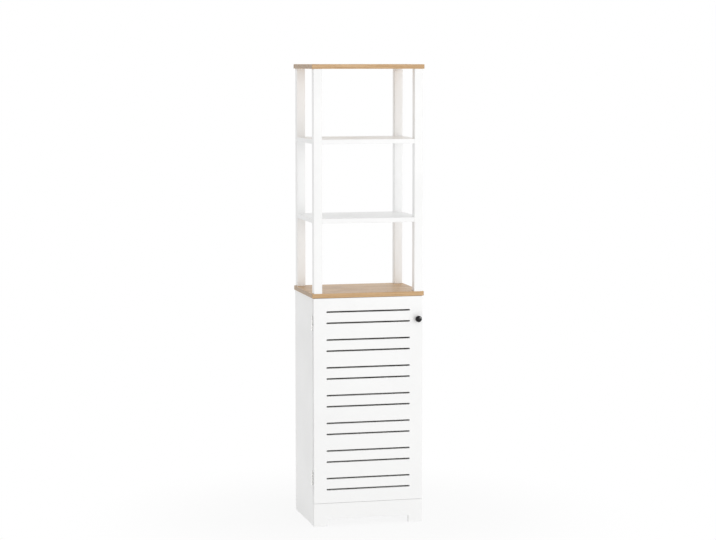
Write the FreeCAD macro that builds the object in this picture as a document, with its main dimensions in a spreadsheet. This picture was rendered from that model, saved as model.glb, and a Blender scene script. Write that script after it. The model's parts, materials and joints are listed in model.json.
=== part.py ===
"""Tall bathroom cabinet: a slotted-door cabinet under an open post-and-shelf frame.

Millimetres. X = 0 is the middle of the cabinet, Y = 0 the middle of its depth with the knob,
Z = 0 the floor. The front faces -Y. The door hangs on its left side.
"""
import FreeCAD, Part
import os

import Sketcher
from FreeCAD import Placement, Rotation, Vector

SIZES = {
    # Wooden boards: one on the closed cabinet, one on the posts
    "board_width": 410,
    "board_depth": 305,
    "board_thickness": 16,
    "board_overhang": 4,
    "board_edge_round": 1.5,
    "total_height": 1650,
    "cabinet_height": 840,
    # White panels
    "panel_thickness": 16,
    "front_thickness": 16,
    "back_thickness": 3,
    "back_inset": 10,
    "back_groove_depth": 6,
    "inner_shelf_height": 454,
    "inner_shelf_setback": 10,
    "inner_shelf_gap": 1,
    # Plinth with its low cut-out
    "plinth_height": 84,
    "cutout_height": 25,
    "foot_width": 50,
    # Open frame: posts, and the clear height of the bay under each shelf
    "lower_bay_height": 250,
    "middle_bay_height": 264,
    "post_width": 30,
    "post_inset": 6,
    "post_edge_round": 1,
    # Door and its slots
    "door_reveal": 1,
    "door_end_gap": 1,
    "door_seam": 1,
    "door_edge_round": 1,
    "slot_pairs": 7,
    "slot_pair_pitch": 100,
    "slot_spacing": 40,
    "slot_length": 308,
    "slot_width": 6,
    # Knob and its screw
    "knob_diameter": 23,
    "knob_projection": 24,
    "knob_base_diameter": 14,
    "knob_base_height": 2,
    "knob_base_taper": 1,
    "knob_neck_diameter": 10,
    "knob_cap_flare": 2,
    "knob_cap_height": 10,
    "knob_rim_round": 1.5,
    "knob_side_inset": 19,
    "knob_top_inset": 81,
    "knob_screw_diameter": 4,
    "knob_screw_grip": 11,
    "knob_screw_head_diameter": 8,
    "knob_screw_head_height": 2.4,
    "knob_hole_play": 0.25,
    # Hinges
    "hinge_length": 50,
    "hinge_end_inset": 91,
    "hinge_barrel_diameter": 5,
    "hinge_barrel_gap": 0.2,
    "hinge_pin_diameter": 2.5,
    "hinge_pin_play": 0.05,
    "hinge_pin_head_diameter": 4.4,
    "hinge_pin_head_height": 1,
    "hinge_knuckles": 5,
    "hinge_knuckle_gap": 0.2,
    "hinge_leaf_width": 15,
    "hinge_leaf_thickness": 1.2,
    "hinge_leaf_gap": 0.2,
    "hinge_recess_play": 0.2,
    "hinge_screw_inset": 5,
    "hinge_screw_end_inset": 15,
    # Countersunk screws of the hinges and the strike plate
    "flat_screw_diameter": 3,
    "flat_screw_head_diameter": 5.4,
    "flat_screw_length": 12,
    # Magnetic catch and strike plate
    "catch_drop": 50,
    "catch_length": 46,
    "catch_block_length": 28,
    "catch_depth": 20,
    "catch_thickness": 13,
    "catch_ear_thickness": 4,
    "catch_ear_length": 9,
    "catch_front_setback": 1,
    "catch_air_gap": 0.3,
    "magnet_length": 20,
    "magnet_thickness": 5,
    "magnet_depth": 11,
    "pole_thickness": 1.5,
    "pole_play": 0.1,
    "strike_width": 10,
    "strike_length": 26,
    "strike_thickness": 1.2,
    "round_screw_diameter": 3,
    "round_screw_head_diameter": 6,
    "round_screw_head_height": 2,
    "round_screw_length": 14,
    # Cam joints and dowels
    "cam_diameter": 15,
    "cam_bolt_reach": 24,
    "cam_below_bolt": 4.5,
    "cam_bolt_diameter": 7,
    "cam_bolt_neck_diameter": 4,
    "cam_bolt_head_diameter": 6.6,
    "cam_bolt_head_length": 3.5,
    "cam_bolt_thread_diameter": 5,
    "cam_bolt_thread_length": 10,
    "cam_slot_width": 1.6,
    "cam_slot_length": 9,
    "cam_slot_depth": 1.5,
    "joint_inset": 50,
    "joint_pitch": 32,
    "plinth_dowel_offset": 24,
    "dowel_diameter": 8,
    "dowel_length": 30,
    "dowel_face_depth": 10,
    # Shelf pins, nails and floor glides
    "shelf_pin_diameter": 5,
    "shelf_pin_length": 16,
    "shelf_pin_collar_diameter": 8,
    "shelf_pin_inset": 37,
    "nail_diameter": 1.6,
    "nail_length": 20,
    "nail_head_diameter": 4,
    "nail_head_height": 0.6,
    "nail_pitch": 120,
    "nail_count": 3,
    "glide_diameter": 14,
    "glide_height": 3,
    "glide_pin_diameter": 2,
    "glide_pin_length": 12,
    "glide_inset": 25,
    # Clearances
    "fit_play": 0.1,
    "pilot_play": 0.05,
    "hole_end_play": 1,
}

# Places worked out from the sizes: planes and lines that several pieces share
HALF_WIDTH = "(Sizes.board_width / 2 - Sizes.board_overhang)"
INNER_HALF = f"({HALF_WIDTH} - Sizes.panel_thickness)"
SIDE_MIDDLE = f"({HALF_WIDTH} - Sizes.panel_thickness / 2)"
FRONT = "((Sizes.knob_projection - Sizes.board_depth) / 2)"
REAR = f"({FRONT} + Sizes.board_depth)"
DOOR_BACK = f"({FRONT} + Sizes.front_thickness)"
CARCASS_FRONT = f"({DOOR_BACK} + Sizes.door_seam)"
BACK_PANEL_REAR = f"({REAR} - Sizes.back_inset)"
BACK_PANEL_FRONT = f"({BACK_PANEL_REAR} - Sizes.back_thickness)"
CARCASS_TOP = "(Sizes.cabinet_height - Sizes.board_thickness)"
FLOOR_PANEL_MIDDLE = "(Sizes.plinth_height + Sizes.panel_thickness / 2)"
TOP_BOARD_BOTTOM = "(Sizes.total_height - Sizes.board_thickness)"
LOWER_SHELF = "(Sizes.cabinet_height + Sizes.lower_bay_height)"
UPPER_SHELF = f"({LOWER_SHELF} + Sizes.panel_thickness + Sizes.middle_bay_height)"
SHELF_BOTTOMS = {"lower": LOWER_SHELF, "upper": UPPER_SHELF}
POST_OUTSIDE = "(Sizes.board_width / 2 - Sizes.post_inset)"
POST_MIDDLE = f"({POST_OUTSIDE} - Sizes.post_width / 2)"
POST_INSIDE = f"({POST_OUTSIDE} - Sizes.post_width)"
DOOR_HALF = f"({HALF_WIDTH} - Sizes.door_reveal)"
DOOR_BOTTOM = "(Sizes.plinth_height + Sizes.door_end_gap)"
DOOR_TOP = f"({CARCASS_TOP} - Sizes.door_end_gap)"
KNOB_X = f"({DOOR_HALF} - Sizes.knob_side_inset)"
KNOB_Z = f"({DOOR_TOP} - Sizes.knob_top_inset)"
HINGE_X = f"(-{HALF_WIDTH} - Sizes.hinge_barrel_gap - Sizes.hinge_barrel_diameter / 2)"
HINGE_Y = f"({DOOR_BACK} + Sizes.door_seam / 2)"
LEAF_RECESS = "(Sizes.hinge_leaf_thickness + (Sizes.hinge_leaf_gap - Sizes.door_seam) / 2)"
HINGE_HEIGHTS = (f"({DOOR_TOP} - Sizes.hinge_end_inset)", f"({DOOR_BOTTOM} + Sizes.hinge_end_inset)")
CATCH_Z = f"({CARCASS_TOP} - Sizes.catch_drop)"
CATCH_X = f"({INNER_HALF} - Sizes.catch_thickness / 2)"
CATCH_FRONT = f"({DOOR_BACK} + Sizes.strike_thickness + Sizes.catch_air_gap)"
CAM_BOLT_DEPTH = "(Sizes.panel_thickness / 2)"

RIGHT, LEFT = Vector(1, 0, 0), Vector(-1, 0, 0)
FORWARD, REARWARD = Vector(0, -1, 0), Vector(0, 1, 0)
UP, DOWN = Vector(0, 0, 1), Vector(0, 0, -1)
SIDES = {"left": -1, "right": 1}

doc = FreeCAD.newDocument("tall_bathroom_cabinet")
sheet = doc.addObject("Spreadsheet::Sheet", "Sizes")
for row, (name, size) in enumerate(SIZES.items(), start=1):
    sheet.set(f"A{row}", name.replace("_", " "))
    sheet.set(f"B{row}", str(size))
    sheet.setAlias(f"B{row}", name)
doc.recompute()

drilled = {}     # piece name -> the shapes that its holes are cut with
joined = {}      # fastener name -> the places of its copies


def value(expression):
    """Number that an expression over the sheet stands for."""
    return float(sheet.evalExpression(expression))


def place(piece, x="0", y="0", z="0", turn=None):
    """Stand a piece at a bound point, turned by a fixed rotation."""
    piece.Placement = Placement(Vector(), turn or Rotation())
    for axis, expression in zip("xyz", (x, y, z)):
        piece.setExpression(f"Placement.Base.{axis}", expression)


def aim(along, opening=None):
    """Rotation that points local +Z along one way and local +X to the opening."""
    if opening is None:
        return Rotation(UP, along)
    return Rotation(opening, Vector(), along, "ZXY")


# Sketches -----------------------------------------------------------------------------------

def add_sketch(body, name, plane, level="0"):
    """Sketch on a plane of the body's own origin, raised to a bound level."""
    sketch = body.newObject("Sketcher::SketchObject", f"{body.Name}_{name}")
    origin_plane = next(item for item in body.Origin.OriginFeatures if item.Role == plane)
    sketch.AttachmentSupport = [(origin_plane, "")]
    sketch.MapMode = "FlatFace"
    sketch.setExpression("AttachmentOffset.Base.z", level)
    return sketch


def bind_point(sketch, geometry, point, across, along):
    """Tie one point of a sketch to two expressions, measured from the origin."""
    for kind, expression in (("DistanceX", across), ("DistanceY", along)):
        limit = Sketcher.Constraint(kind, -1, 1, geometry, point, value(expression))
        index = sketch.addConstraint(limit)
        sketch.setExpression(f"Constraints[{index}]", expression)


def draw_outline(sketch, corners):
    """Closed outline of straight lines, one pair of expressions to a corner."""
    points = [Vector(value(across), value(along), 0) for across, along in corners]
    first, count = sketch.GeometryCount, len(points)
    ends = points[1:] + points[:1]
    sketch.addGeometry([Part.LineSegment(a, b) for a, b in zip(points, ends)], False)
    for index, (across, along) in enumerate(corners):
        before = first + (index - 1) % count
        sketch.addConstraint(Sketcher.Constraint("Coincident", before, 2, first + index, 1))
        bind_point(sketch, first + index, 1, across, along)


def draw_rectangle(sketch, left, bottom, right, top):
    draw_outline(sketch, [(left, bottom), (right, bottom), (right, top), (left, top)])


def draw_slot(sketch, height, length, width):
    """Slot with round ends, centred across the sketch at a bound height."""
    reach = f"(({length} - {width}) / 2)"
    low, high = f"({height} - {width} / 2)", f"({height} + {width} / 2)"
    corners = [(f"-{reach}", low), (reach, low), (reach, high), (f"-{reach}", high)]
    low_left, low_right, high_right, high_left = (
        Vector(value(across), value(along), 0) for across, along in corners)
    round_end = Vector(value(width) / 2, 0, 0)
    middle_height = Vector(0, value(height), 0)
    right_tip = Vector(value(reach), 0, 0) + middle_height + round_end
    left_tip = Vector(-value(reach), 0, 0) + middle_height - round_end
    first = sketch.GeometryCount
    bottom, right_end, top, left_end = range(first, first + 4)
    sketch.addGeometry([
        Part.LineSegment(low_left, low_right),
        Part.Arc(low_right, right_tip, high_right),
        Part.LineSegment(high_right, high_left),
        Part.Arc(high_left, left_tip, low_left),
    ], False)
    bind_point(sketch, bottom, 1, *corners[0])
    bind_point(sketch, bottom, 2, *corners[1])
    bind_point(sketch, top, 1, *corners[2])
    bind_point(sketch, top, 2, *corners[3])
    for line_end, arc_end in (((bottom, 2), (right_end, 1)), ((right_end, 2), (top, 1)),
                              ((top, 2), (left_end, 1)), ((left_end, 2), (bottom, 1))):
        sketch.addConstraint(Sketcher.Constraint("Coincident", *line_end, *arc_end))
    for arc, across in ((right_end, reach), (left_end, f"-{reach}")):
        limit = Sketcher.Constraint("DistanceX", -1, 1, arc, 3, value(across))
        index = sketch.addConstraint(limit)
        sketch.setExpression(f"Constraints[{index}]", across)


# Features -----------------------------------------------------------------------------------

def new_body(name):
    return doc.addObject("PartDesign::Body", name)


def pad(body, sketch, length):
    feature = body.newObject("PartDesign::Pad", f"{sketch.Name}_pad")
    feature.Profile = sketch
    feature.setExpression("Length", length)
    doc.recompute()
    return feature


def pocket(body, sketch, depth=None, reverse=False):
    """Pocket to a bound depth, or through everything, that has to take volume away."""
    before = body.Shape.Volume
    feature = body.newObject("PartDesign::Pocket", f"{sketch.Name}_pocket")
    feature.Profile = sketch
    feature.Reversed = reverse
    if depth is None:
        feature.Type = "ThroughAll"
    else:
        feature.setExpression("Length", depth)
    doc.recompute()
    if body.Shape.Volume > before - 1e-6:
        raise RuntimeError(f"{feature.Name} cuts nothing")
    return feature


def level_with(*heights):
    return max(heights) - min(heights) < 1e-6


def round_edges(body, chosen, radius):
    """Round those edges of a body that the test picks out by their two ends."""
    picked = [f"Edge{number}" for number, edge in enumerate(body.Shape.Edges, start=1)
              if chosen(edge.firstVertex().Point, edge.lastVertex().Point)]
    base = body.Tip
    feature = body.newObject("PartDesign::Fillet", f"{body.Name}_rounding")
    feature.Base = (base, picked)
    feature.setExpression("Radius", radius)
    doc.recompute()
    return feature


def turned(name, profile):
    """Body turned about local Z from (radius, height) pairs."""
    body = new_body(name)
    sketch = add_sketch(body, "profile", "XZ_Plane")
    draw_outline(sketch, profile)
    feature = body.newObject("PartDesign::Revolution", f"{name}_turning")
    feature.Profile = sketch
    feature.ReferenceAxis = (sketch, ["V_Axis"])
    feature.Angle = 360
    doc.recompute()
    return body


def plate(name, left, front, right, rear, bottom, thickness):
    """Flat panel lying in the XY plane."""
    body = new_body(name)
    sketch = add_sketch(body, "outline", "XY_Plane", bottom)
    draw_rectangle(sketch, left, front, right, rear)
    pad(body, sketch, thickness)
    return body


def box(name, left, front, bottom, width, depth, height):
    """Part box with bound corner and sides."""
    piece = doc.addObject("Part::Box", name)
    for side, expression in (("Length", width), ("Width", depth), ("Height", height)):
        piece.setExpression(side, expression)
    place(piece, left, front, bottom)
    return piece


def cylinder(name, radius, height, x="0", y="0", z="0", turn=None):
    piece = doc.addObject("Part::Cylinder", name)
    piece.setExpression("Radius", radius)
    piece.setExpression("Height", height)
    place(piece, x, y, z, turn)
    return piece


def fuse(name, pieces):
    joined_piece = doc.addObject("Part::MultiFuse", name)
    joined_piece.Shapes = pieces
    return joined_piece


def cut(name, blank, tool):
    result = doc.addObject("Part::Cut", name)
    result.Base = blank
    result.Tool = tool
    return result


def copy_of(master, name, x, y, z, turn):
    """Linked copy of one master piece at a bound place."""
    link = doc.addObject("App::Link", name)
    link.LinkedObject = master
    link.LinkTransform = False
    place(link, x, y, z, turn)
    return link


def fasten(fastener, hole, pieces, x, y, z, turn):
    """Note one copy of a fastener, and cut its hole in every piece that it goes into."""
    places = joined.setdefault(fastener, [])
    places.append((x, y, z, turn))
    tool = copy_of(hole, f"{fastener}_hole_{len(places)}", x, y, z, turn)
    for piece in pieces:
        drilled.setdefault(piece, []).append(tool)


def drill(name, blank):
    """Sub-part made of a blank and all the holes that its fasteners asked for."""
    holes = doc.addObject("Part::Compound", f"{name}_holes")
    holes.Links = drilled[name]
    return cut(name, blank, holes)


def group(name, master, places):
    """Separate copies of one piece, kept as one sub-part."""
    compound = doc.addObject("Part::Compound", name)
    compound.Links = [copy_of(master, f"{name}_{number}", *where)
                      for number, where in enumerate(places, start=1)]
    return compound


# Fasteners: each stands at the face it is driven into, local +Z is the way it goes ----------

def radius_of(diameter, play="0"):
    return f"({diameter} / 2 + {play})"


def straight_hole(name, diameter, start, end, play="Sizes.fit_play"):
    radius = radius_of(diameter, play)
    return turned(name, [("0", start), (radius, start), (radius, end), ("0", end)])


def pointed_screw(name, head_profile, diameter, length):
    """Screw with a pointed end; the head profile ends where the shank starts."""
    radius = radius_of(diameter)
    point_start = f"({length} - {diameter})"
    return turned(name, head_profile + [(radius, point_start), ("0", length)])


def make_dowel():
    radius = radius_of("Sizes.dowel_diameter")
    start = "(-Sizes.dowel_face_depth)"
    end = f"(Sizes.dowel_length + {start})"
    dowel = turned("dowel", [("0", start), (radius, start), (radius, end), ("0", end)])
    hole = straight_hole("dowel_hole", "Sizes.dowel_diameter", start, f"({end} + Sizes.hole_end_play)")
    return dowel, hole


def make_cam_joint():
    """Bolt, cam and their hole: the bolt screws into one piece, the cam grips it in the other."""
    reach = "Sizes.cam_bolt_reach"
    thread_start = "(-Sizes.cam_bolt_thread_length)"
    thread_radius = radius_of("Sizes.cam_bolt_thread_diameter")
    body_radius = radius_of("Sizes.cam_bolt_diameter")
    neck_radius = radius_of("Sizes.cam_bolt_neck_diameter")
    head_radius = radius_of("Sizes.cam_bolt_head_diameter")
    body_end = f"({reach} - Sizes.cam_diameter / 2 - Sizes.fit_play)"
    head_start = f"({reach} - Sizes.cam_bolt_head_length / 2)"
    head_end = f"({reach} + Sizes.cam_bolt_head_length / 2)"
    bolt = turned("cam_bolt", [
        ("0", thread_start), (thread_radius, thread_start), (thread_radius, "0"),
        (body_radius, "0"), (body_radius, body_end), (neck_radius, body_end),
        (neck_radius, head_start), (head_radius, head_start), (head_radius, head_end),
        ("0", head_end),
    ])

    cam_height = f"({CAM_BOLT_DEPTH} + Sizes.cam_below_bolt)"
    cam_bottom = "(-Sizes.cam_below_bolt)"
    sideways = aim(RIGHT)
    blank = cylinder("cam_blank", radius_of("Sizes.cam_diameter", "-Sizes.fit_play"), cam_height,
                     x=cam_bottom, z=reach, turn=sideways)
    neck_room = f"({neck_radius} + Sizes.fit_play)"
    head_room = f"({head_radius} + Sizes.fit_play)"
    slot_bottom = f"({CAM_BOLT_DEPTH} - Sizes.cam_slot_depth)"
    hollow = fuse("cam_hollow", [
        box("cam_neck_room", f"-{neck_room}", f"-{neck_room}", f"({reach} - Sizes.cam_diameter)",
            f"2 * {neck_room}", f"2 * {neck_room}", "Sizes.cam_diameter"),
        box("cam_head_room", f"-{head_room}", f"-{head_room}", head_start,
            f"2 * {head_room}", f"2 * {head_room}", "(Sizes.cam_bolt_head_length + Sizes.fit_play)"),
        box("cam_slot", slot_bottom, "(-Sizes.cam_slot_width / 2)",
            f"({reach} - Sizes.cam_slot_length / 2)",
            "2 * Sizes.cam_slot_depth", "Sizes.cam_slot_width", "Sizes.cam_slot_length"),
        box("cam_cross_slot", slot_bottom, "(-Sizes.cam_slot_length / 2)",
            f"({reach} - Sizes.cam_slot_width / 2)",
            "2 * Sizes.cam_slot_depth", "Sizes.cam_slot_length", "Sizes.cam_slot_width"),
    ])
    cam = cut("cam", blank, hollow)

    thread_hole = radius_of("Sizes.cam_bolt_thread_diameter", "Sizes.pilot_play")
    body_hole = radius_of("Sizes.cam_bolt_diameter", "Sizes.fit_play")
    thread_end = f"({thread_start} - Sizes.hole_end_play)"
    bolt_hole = turned("cam_bolt_hole", [
        ("0", thread_end), (thread_hole, thread_end), (thread_hole, "0"),
        (body_hole, "0"), (body_hole, reach), ("0", reach),
    ])
    cam_hole = cylinder("cam_hole", radius_of("Sizes.cam_diameter"),
                        f"({cam_height} + Sizes.hole_end_play)",
                        x=cam_bottom, z=reach, turn=sideways)
    return bolt, cam, fuse("cam_joint_hole", [bolt_hole, cam_hole])


def make_flat_screw():
    """Countersunk screw; its hole has the same cone, so the head seats in it."""
    head = radius_of("Sizes.flat_screw_head_diameter")
    shank = radius_of("Sizes.flat_screw_diameter")
    cone_end = f"({head} - {shank})"
    screw = pointed_screw("flat_screw", [("0", "0"), (head, "0"), (shank, cone_end)],
                          "Sizes.flat_screw_diameter", "Sizes.flat_screw_length")
    hole_radius = radius_of("Sizes.flat_screw_diameter", "Sizes.pilot_play")
    hole_cone_end = f"({head} - {hole_radius})"
    hole_end = "(Sizes.flat_screw_length + Sizes.hole_end_play)"
    hole = turned("flat_screw_hole", [("0", "0"), (head, "0"), (hole_radius, hole_cone_end),
                                      (hole_radius, hole_end), ("0", hole_end)])
    return screw, hole


def make_round_screw():
    head, shank = radius_of("Sizes.round_screw_head_diameter"), radius_of("Sizes.round_screw_diameter")
    top = "(-Sizes.round_screw_head_height)"
    screw = pointed_screw("round_screw", [("0", top), (head, top), (head, "0"), (shank, "0")],
                          "Sizes.round_screw_diameter", "Sizes.round_screw_length")
    hole = straight_hole("round_screw_hole", "Sizes.round_screw_diameter", "0",
                         "(Sizes.round_screw_length + Sizes.hole_end_play)", "Sizes.pilot_play")
    return screw, hole


def make_nail():
    head, shank = radius_of("Sizes.nail_head_diameter"), radius_of("Sizes.nail_diameter")
    top = "(-Sizes.nail_head_height)"
    nail = pointed_screw("nail", [("0", top), (head, top), (head, "0"), (shank, "0")],
                         "Sizes.nail_diameter", "Sizes.nail_length")
    hole = straight_hole("nail_hole", "Sizes.nail_diameter", "0",
                         "(Sizes.nail_length + Sizes.hole_end_play)", "Sizes.pilot_play")
    return nail, hole


def make_shelf_pin():
    """Pin with a thin collar against the side panel; the shelf lies on its outer half."""
    pin, collar = radius_of("Sizes.shelf_pin_diameter"), radius_of("Sizes.shelf_pin_collar_diameter")
    outer, inner = "(-Sizes.shelf_pin_length / 2)", "(Sizes.shelf_pin_length / 2)"
    collar_top = "(Sizes.fit_play - Sizes.inner_shelf_gap)"
    piece = turned("shelf_pin", [("0", outer), (pin, outer), (pin, collar_top), (collar, collar_top),
                                 (collar, "0"), (pin, "0"), (pin, inner), ("0", inner)])
    hole = straight_hole("shelf_pin_hole", "Sizes.shelf_pin_diameter", "0",
                         f"({inner} + Sizes.hole_end_play)", "Sizes.pilot_play")
    return piece, hole


def make_glide():
    """Round plastic foot with a pin that is driven up into the side panel."""
    foot, pin = radius_of("Sizes.glide_diameter"), radius_of("Sizes.glide_pin_diameter")
    piece = pointed_screw("glide", [("0", "(-Sizes.glide_height)"), (foot, "(-Sizes.glide_height)"),
                                    (foot, "0"), (pin, "0")],
                          "Sizes.glide_pin_diameter", "Sizes.glide_pin_length")
    hole = straight_hole("glide_hole", "Sizes.glide_pin_diameter", "0",
                         "(Sizes.glide_pin_length + Sizes.hole_end_play)", "Sizes.pilot_play")
    return piece, hole


dowel, dowel_hole = make_dowel()
cam_bolt, cam, cam_joint_hole = make_cam_joint()
flat_screw, flat_screw_hole = make_flat_screw()
round_screw, round_screw_hole = make_round_screw()
nail, nail_hole = make_nail()
shelf_pin, shelf_pin_hole = make_shelf_pin()
glide, glide_hole = make_glide()


# Joints: where the pieces of the cabinet are held together ---------------------------------

def cam_joint(pieces, x, y, z, along, opening):
    fasten("cam_bolts", cam_joint_hole, pieces, x, y, z, aim(along, opening))


def dowel_joint(pieces, x, y, z, along):
    fasten("wood_dowels", dowel_hole, pieces, x, y, z, aim(along))


def join_carcass(side, sign):
    """Side panel to low board, bottom panel and plinth."""
    panel = f"side_panel_{side}"
    inward = LEFT * sign
    middle, inside = f"{sign} * {SIDE_MIDDLE}", f"{sign} * {INNER_HALF}"
    front_joint, rear_joint = f"({CARCASS_FRONT} + Sizes.joint_inset)", f"({REAR} - Sizes.joint_inset)"
    depths = ((front_joint, f"({front_joint} + Sizes.joint_pitch)"),
              (rear_joint, f"({rear_joint} - Sizes.joint_pitch)"))
    for bolt_y, dowel_y in depths:
        cam_joint(["cabinet_top_board", panel], middle, bolt_y, CARCASS_TOP, DOWN, inward)
        dowel_joint(["cabinet_top_board", panel], middle, dowel_y, CARCASS_TOP, DOWN)
        cam_joint([panel, "bottom_panel"], inside, bolt_y, FLOOR_PANEL_MIDDLE, inward, DOWN)
        dowel_joint([panel, "bottom_panel"], inside, dowel_y, FLOOR_PANEL_MIDDLE, inward)
    plinth_middle = "(Sizes.plinth_height / 2)"
    cam_joint(["front_plinth", panel], middle, CARCASS_FRONT, plinth_middle, REARWARD, inward)
    for way in "-+":
        dowel_z = f"({plinth_middle} {way} Sizes.plinth_dowel_offset)"
        dowel_joint(["front_plinth", panel], middle, CARCASS_FRONT, dowel_z, REARWARD)


def join_post(side, sign, end):
    """Post to both boards and to both open shelves."""
    post = f"post_{end}_{side}"
    middle, inside = f"{sign} * {POST_MIDDLE}", f"{sign} * {POST_INSIDE}"
    post_front = FRONT if end == "front" else f"({REAR} - Sizes.post_width)"
    bolt_y = f"({post_front} + Sizes.post_width - {CAM_BOLT_DEPTH})"
    dowel_y = f"({post_front} + {CAM_BOLT_DEPTH})"
    ends = (("cabinet_top_board", "Sizes.cabinet_height", UP), ("top_board", TOP_BOARD_BOTTOM, DOWN))
    for board, level, along in ends:
        cam_joint([board, post], middle, bolt_y, level, along, REARWARD)
        dowel_joint([board, post], middle, dowel_y, level, along)
    post_middle_y = f"({post_front} + Sizes.post_width / 2)"
    if end == "front":
        meeting_y, along = f"({post_front} + Sizes.post_width)", REARWARD
    else:
        meeting_y, along = post_front, FORWARD
    for shelf, bottom in SHELF_BOTTOMS.items():
        shelf_middle = f"({bottom} + Sizes.panel_thickness / 2)"
        pieces = [post, f"{shelf}_open_shelf"]
        cam_joint(pieces, inside, post_middle_y, shelf_middle, LEFT * sign, DOWN)
        dowel_joint(pieces, middle, meeting_y, shelf_middle, along)


def support_inner_shelf(side, sign):
    pin_z = "(Sizes.inner_shelf_height - Sizes.shelf_pin_diameter / 2)"
    for pin_y in (f"({CARCASS_FRONT} + Sizes.shelf_pin_inset)",
                  f"({BACK_PANEL_FRONT} - Sizes.shelf_pin_inset)"):
        fasten("shelf_pins", shelf_pin_hole, [f"side_panel_{side}"],
               f"{sign} * {INNER_HALF}", pin_y, pin_z, aim(RIGHT * sign))


def stand_side_on_glides(side, sign):
    for glide_y in (f"({CARCASS_FRONT} + Sizes.glide_inset)", f"({REAR} - Sizes.glide_inset)"):
        fasten("floor_glides", glide_hole, [f"side_panel_{side}"],
               f"{sign} * {SIDE_MIDDLE}", glide_y, "Sizes.glide_height", aim(UP))


def nail_back_panel():
    count = round(value("Sizes.nail_count"))
    for number in range(count):
        nail_x = f"({number - (count - 1) / 2} * Sizes.nail_pitch)"
        fasten("back_panel_nails", nail_hole, ["back_panel", "bottom_panel"],
               nail_x, BACK_PANEL_REAR, FLOOR_PANEL_MIDDLE, aim(FORWARD))


def screw_hinges():
    """Two screws to a leaf, each leaf against its own piece."""
    screw_x = f"({HINGE_X} + Sizes.hinge_leaf_width - Sizes.hinge_screw_inset)"
    leaf_face = "(Sizes.hinge_leaf_gap / 2)"
    for height in HINGE_HEIGHTS:
        for way in "-+":
            screw_z = f"({height} {way} (Sizes.hinge_length / 2 - Sizes.hinge_screw_end_inset))"
            fasten("hinge_frame_screws", flat_screw_hole, ["side_panel_left", "hinge_frame_leaves"],
                   screw_x, f"({HINGE_Y} + {leaf_face})", screw_z, aim(REARWARD))
            fasten("hinge_door_screws", flat_screw_hole, ["slotted_door", "hinge_door_leaves"],
                   screw_x, f"({HINGE_Y} - {leaf_face})", screw_z, aim(FORWARD))


def screw_catch():
    ear_face = f"({INNER_HALF} - Sizes.catch_ear_thickness)"
    catch_middle_y = f"({CATCH_FRONT} + Sizes.catch_front_setback + Sizes.catch_depth / 2)"
    for way in "-+":
        screw_z = f"({CATCH_Z} {way} (Sizes.catch_length - Sizes.catch_ear_length) / 2)"
        fasten("catch_screws", round_screw_hole, ["side_panel_right", "catch_housing"],
               ear_face, catch_middle_y, screw_z, aim(RIGHT))
    fasten("strike_screw", flat_screw_hole, ["slotted_door", "strike_plate"],
           CATCH_X, f"({DOOR_BACK} + Sizes.strike_thickness)", CATCH_Z, aim(FORWARD))


for side, sign in SIDES.items():
    join_carcass(side, sign)
    for end in ("front", "rear"):
        join_post(side, sign, end)
    support_inner_shelf(side, sign)
    stand_side_on_glides(side, sign)
nail_back_panel()
screw_hinges()
screw_catch()


# Wooden boards -----------------------------------------------------------------------------

def make_board(name, bottom):
    half = "(Sizes.board_width / 2)"
    blank = plate(f"{name}_blank", f"-{half}", FRONT, half, REAR, bottom, "Sizes.board_thickness")
    round_edges(blank, lambda start, end: True, "Sizes.board_edge_round")
    return drill(name, blank)


# Carcass -----------------------------------------------------------------------------------

def make_side_panel(side, sign):
    """Side panel with the groove of the back panel, and hinge recesses in the left one."""
    name = f"side_panel_{side}"
    blank = new_body(f"{name}_blank")
    outline_level = f"-{HALF_WIDTH}" if sign < 0 else INNER_HALF
    outline = add_sketch(blank, "outline", "YZ_Plane", outline_level)
    draw_rectangle(outline, CARCASS_FRONT, "Sizes.glide_height", REAR, CARCASS_TOP)
    pad(blank, outline, "Sizes.panel_thickness")

    groove = add_sketch(blank, "groove", "YZ_Plane", f"{sign} * {INNER_HALF}")
    draw_rectangle(groove, f"({BACK_PANEL_FRONT} - Sizes.fit_play)", "Sizes.glide_height",
                   f"({BACK_PANEL_REAR} + Sizes.fit_play)", CARCASS_TOP)
    pocket(blank, groove, "Sizes.back_groove_depth", reverse=sign > 0)
    if side == "left":
        cut_leaf_recesses(blank, CARCASS_FRONT, reverse=False)
    return drill(name, blank)


def cut_leaf_recesses(body, face_y, reverse):
    """Shallow seats for both hinge leaves, open towards the barrel."""
    far_edge = f"({HINGE_X} + Sizes.hinge_leaf_width + Sizes.hinge_recess_play)"
    reach = "(Sizes.hinge_length / 2 + Sizes.hinge_recess_play)"
    seats = add_sketch(body, "leaf_seats", "XZ_Plane", f"-{face_y}")
    for height in HINGE_HEIGHTS:
        draw_rectangle(seats, HINGE_X, f"({height} - {reach})", far_edge, f"({height} + {reach})")
    pocket(body, seats, LEAF_RECESS, reverse)


def make_bottom_panel():
    blank = plate("bottom_panel_blank", f"-{INNER_HALF}", CARCASS_FRONT, INNER_HALF, BACK_PANEL_FRONT,
                  "Sizes.plinth_height", "Sizes.panel_thickness")
    return drill("bottom_panel", blank)


def make_back_panel():
    half = f"({INNER_HALF} + Sizes.back_groove_depth - Sizes.hole_end_play)"
    blank = new_body("back_panel_blank")
    outline = add_sketch(blank, "outline", "XZ_Plane", f"-{BACK_PANEL_REAR}")
    draw_rectangle(outline, f"-{half}", "Sizes.plinth_height", half, CARCASS_TOP)
    pad(blank, outline, "Sizes.back_thickness")
    return drill("back_panel", blank)


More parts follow.
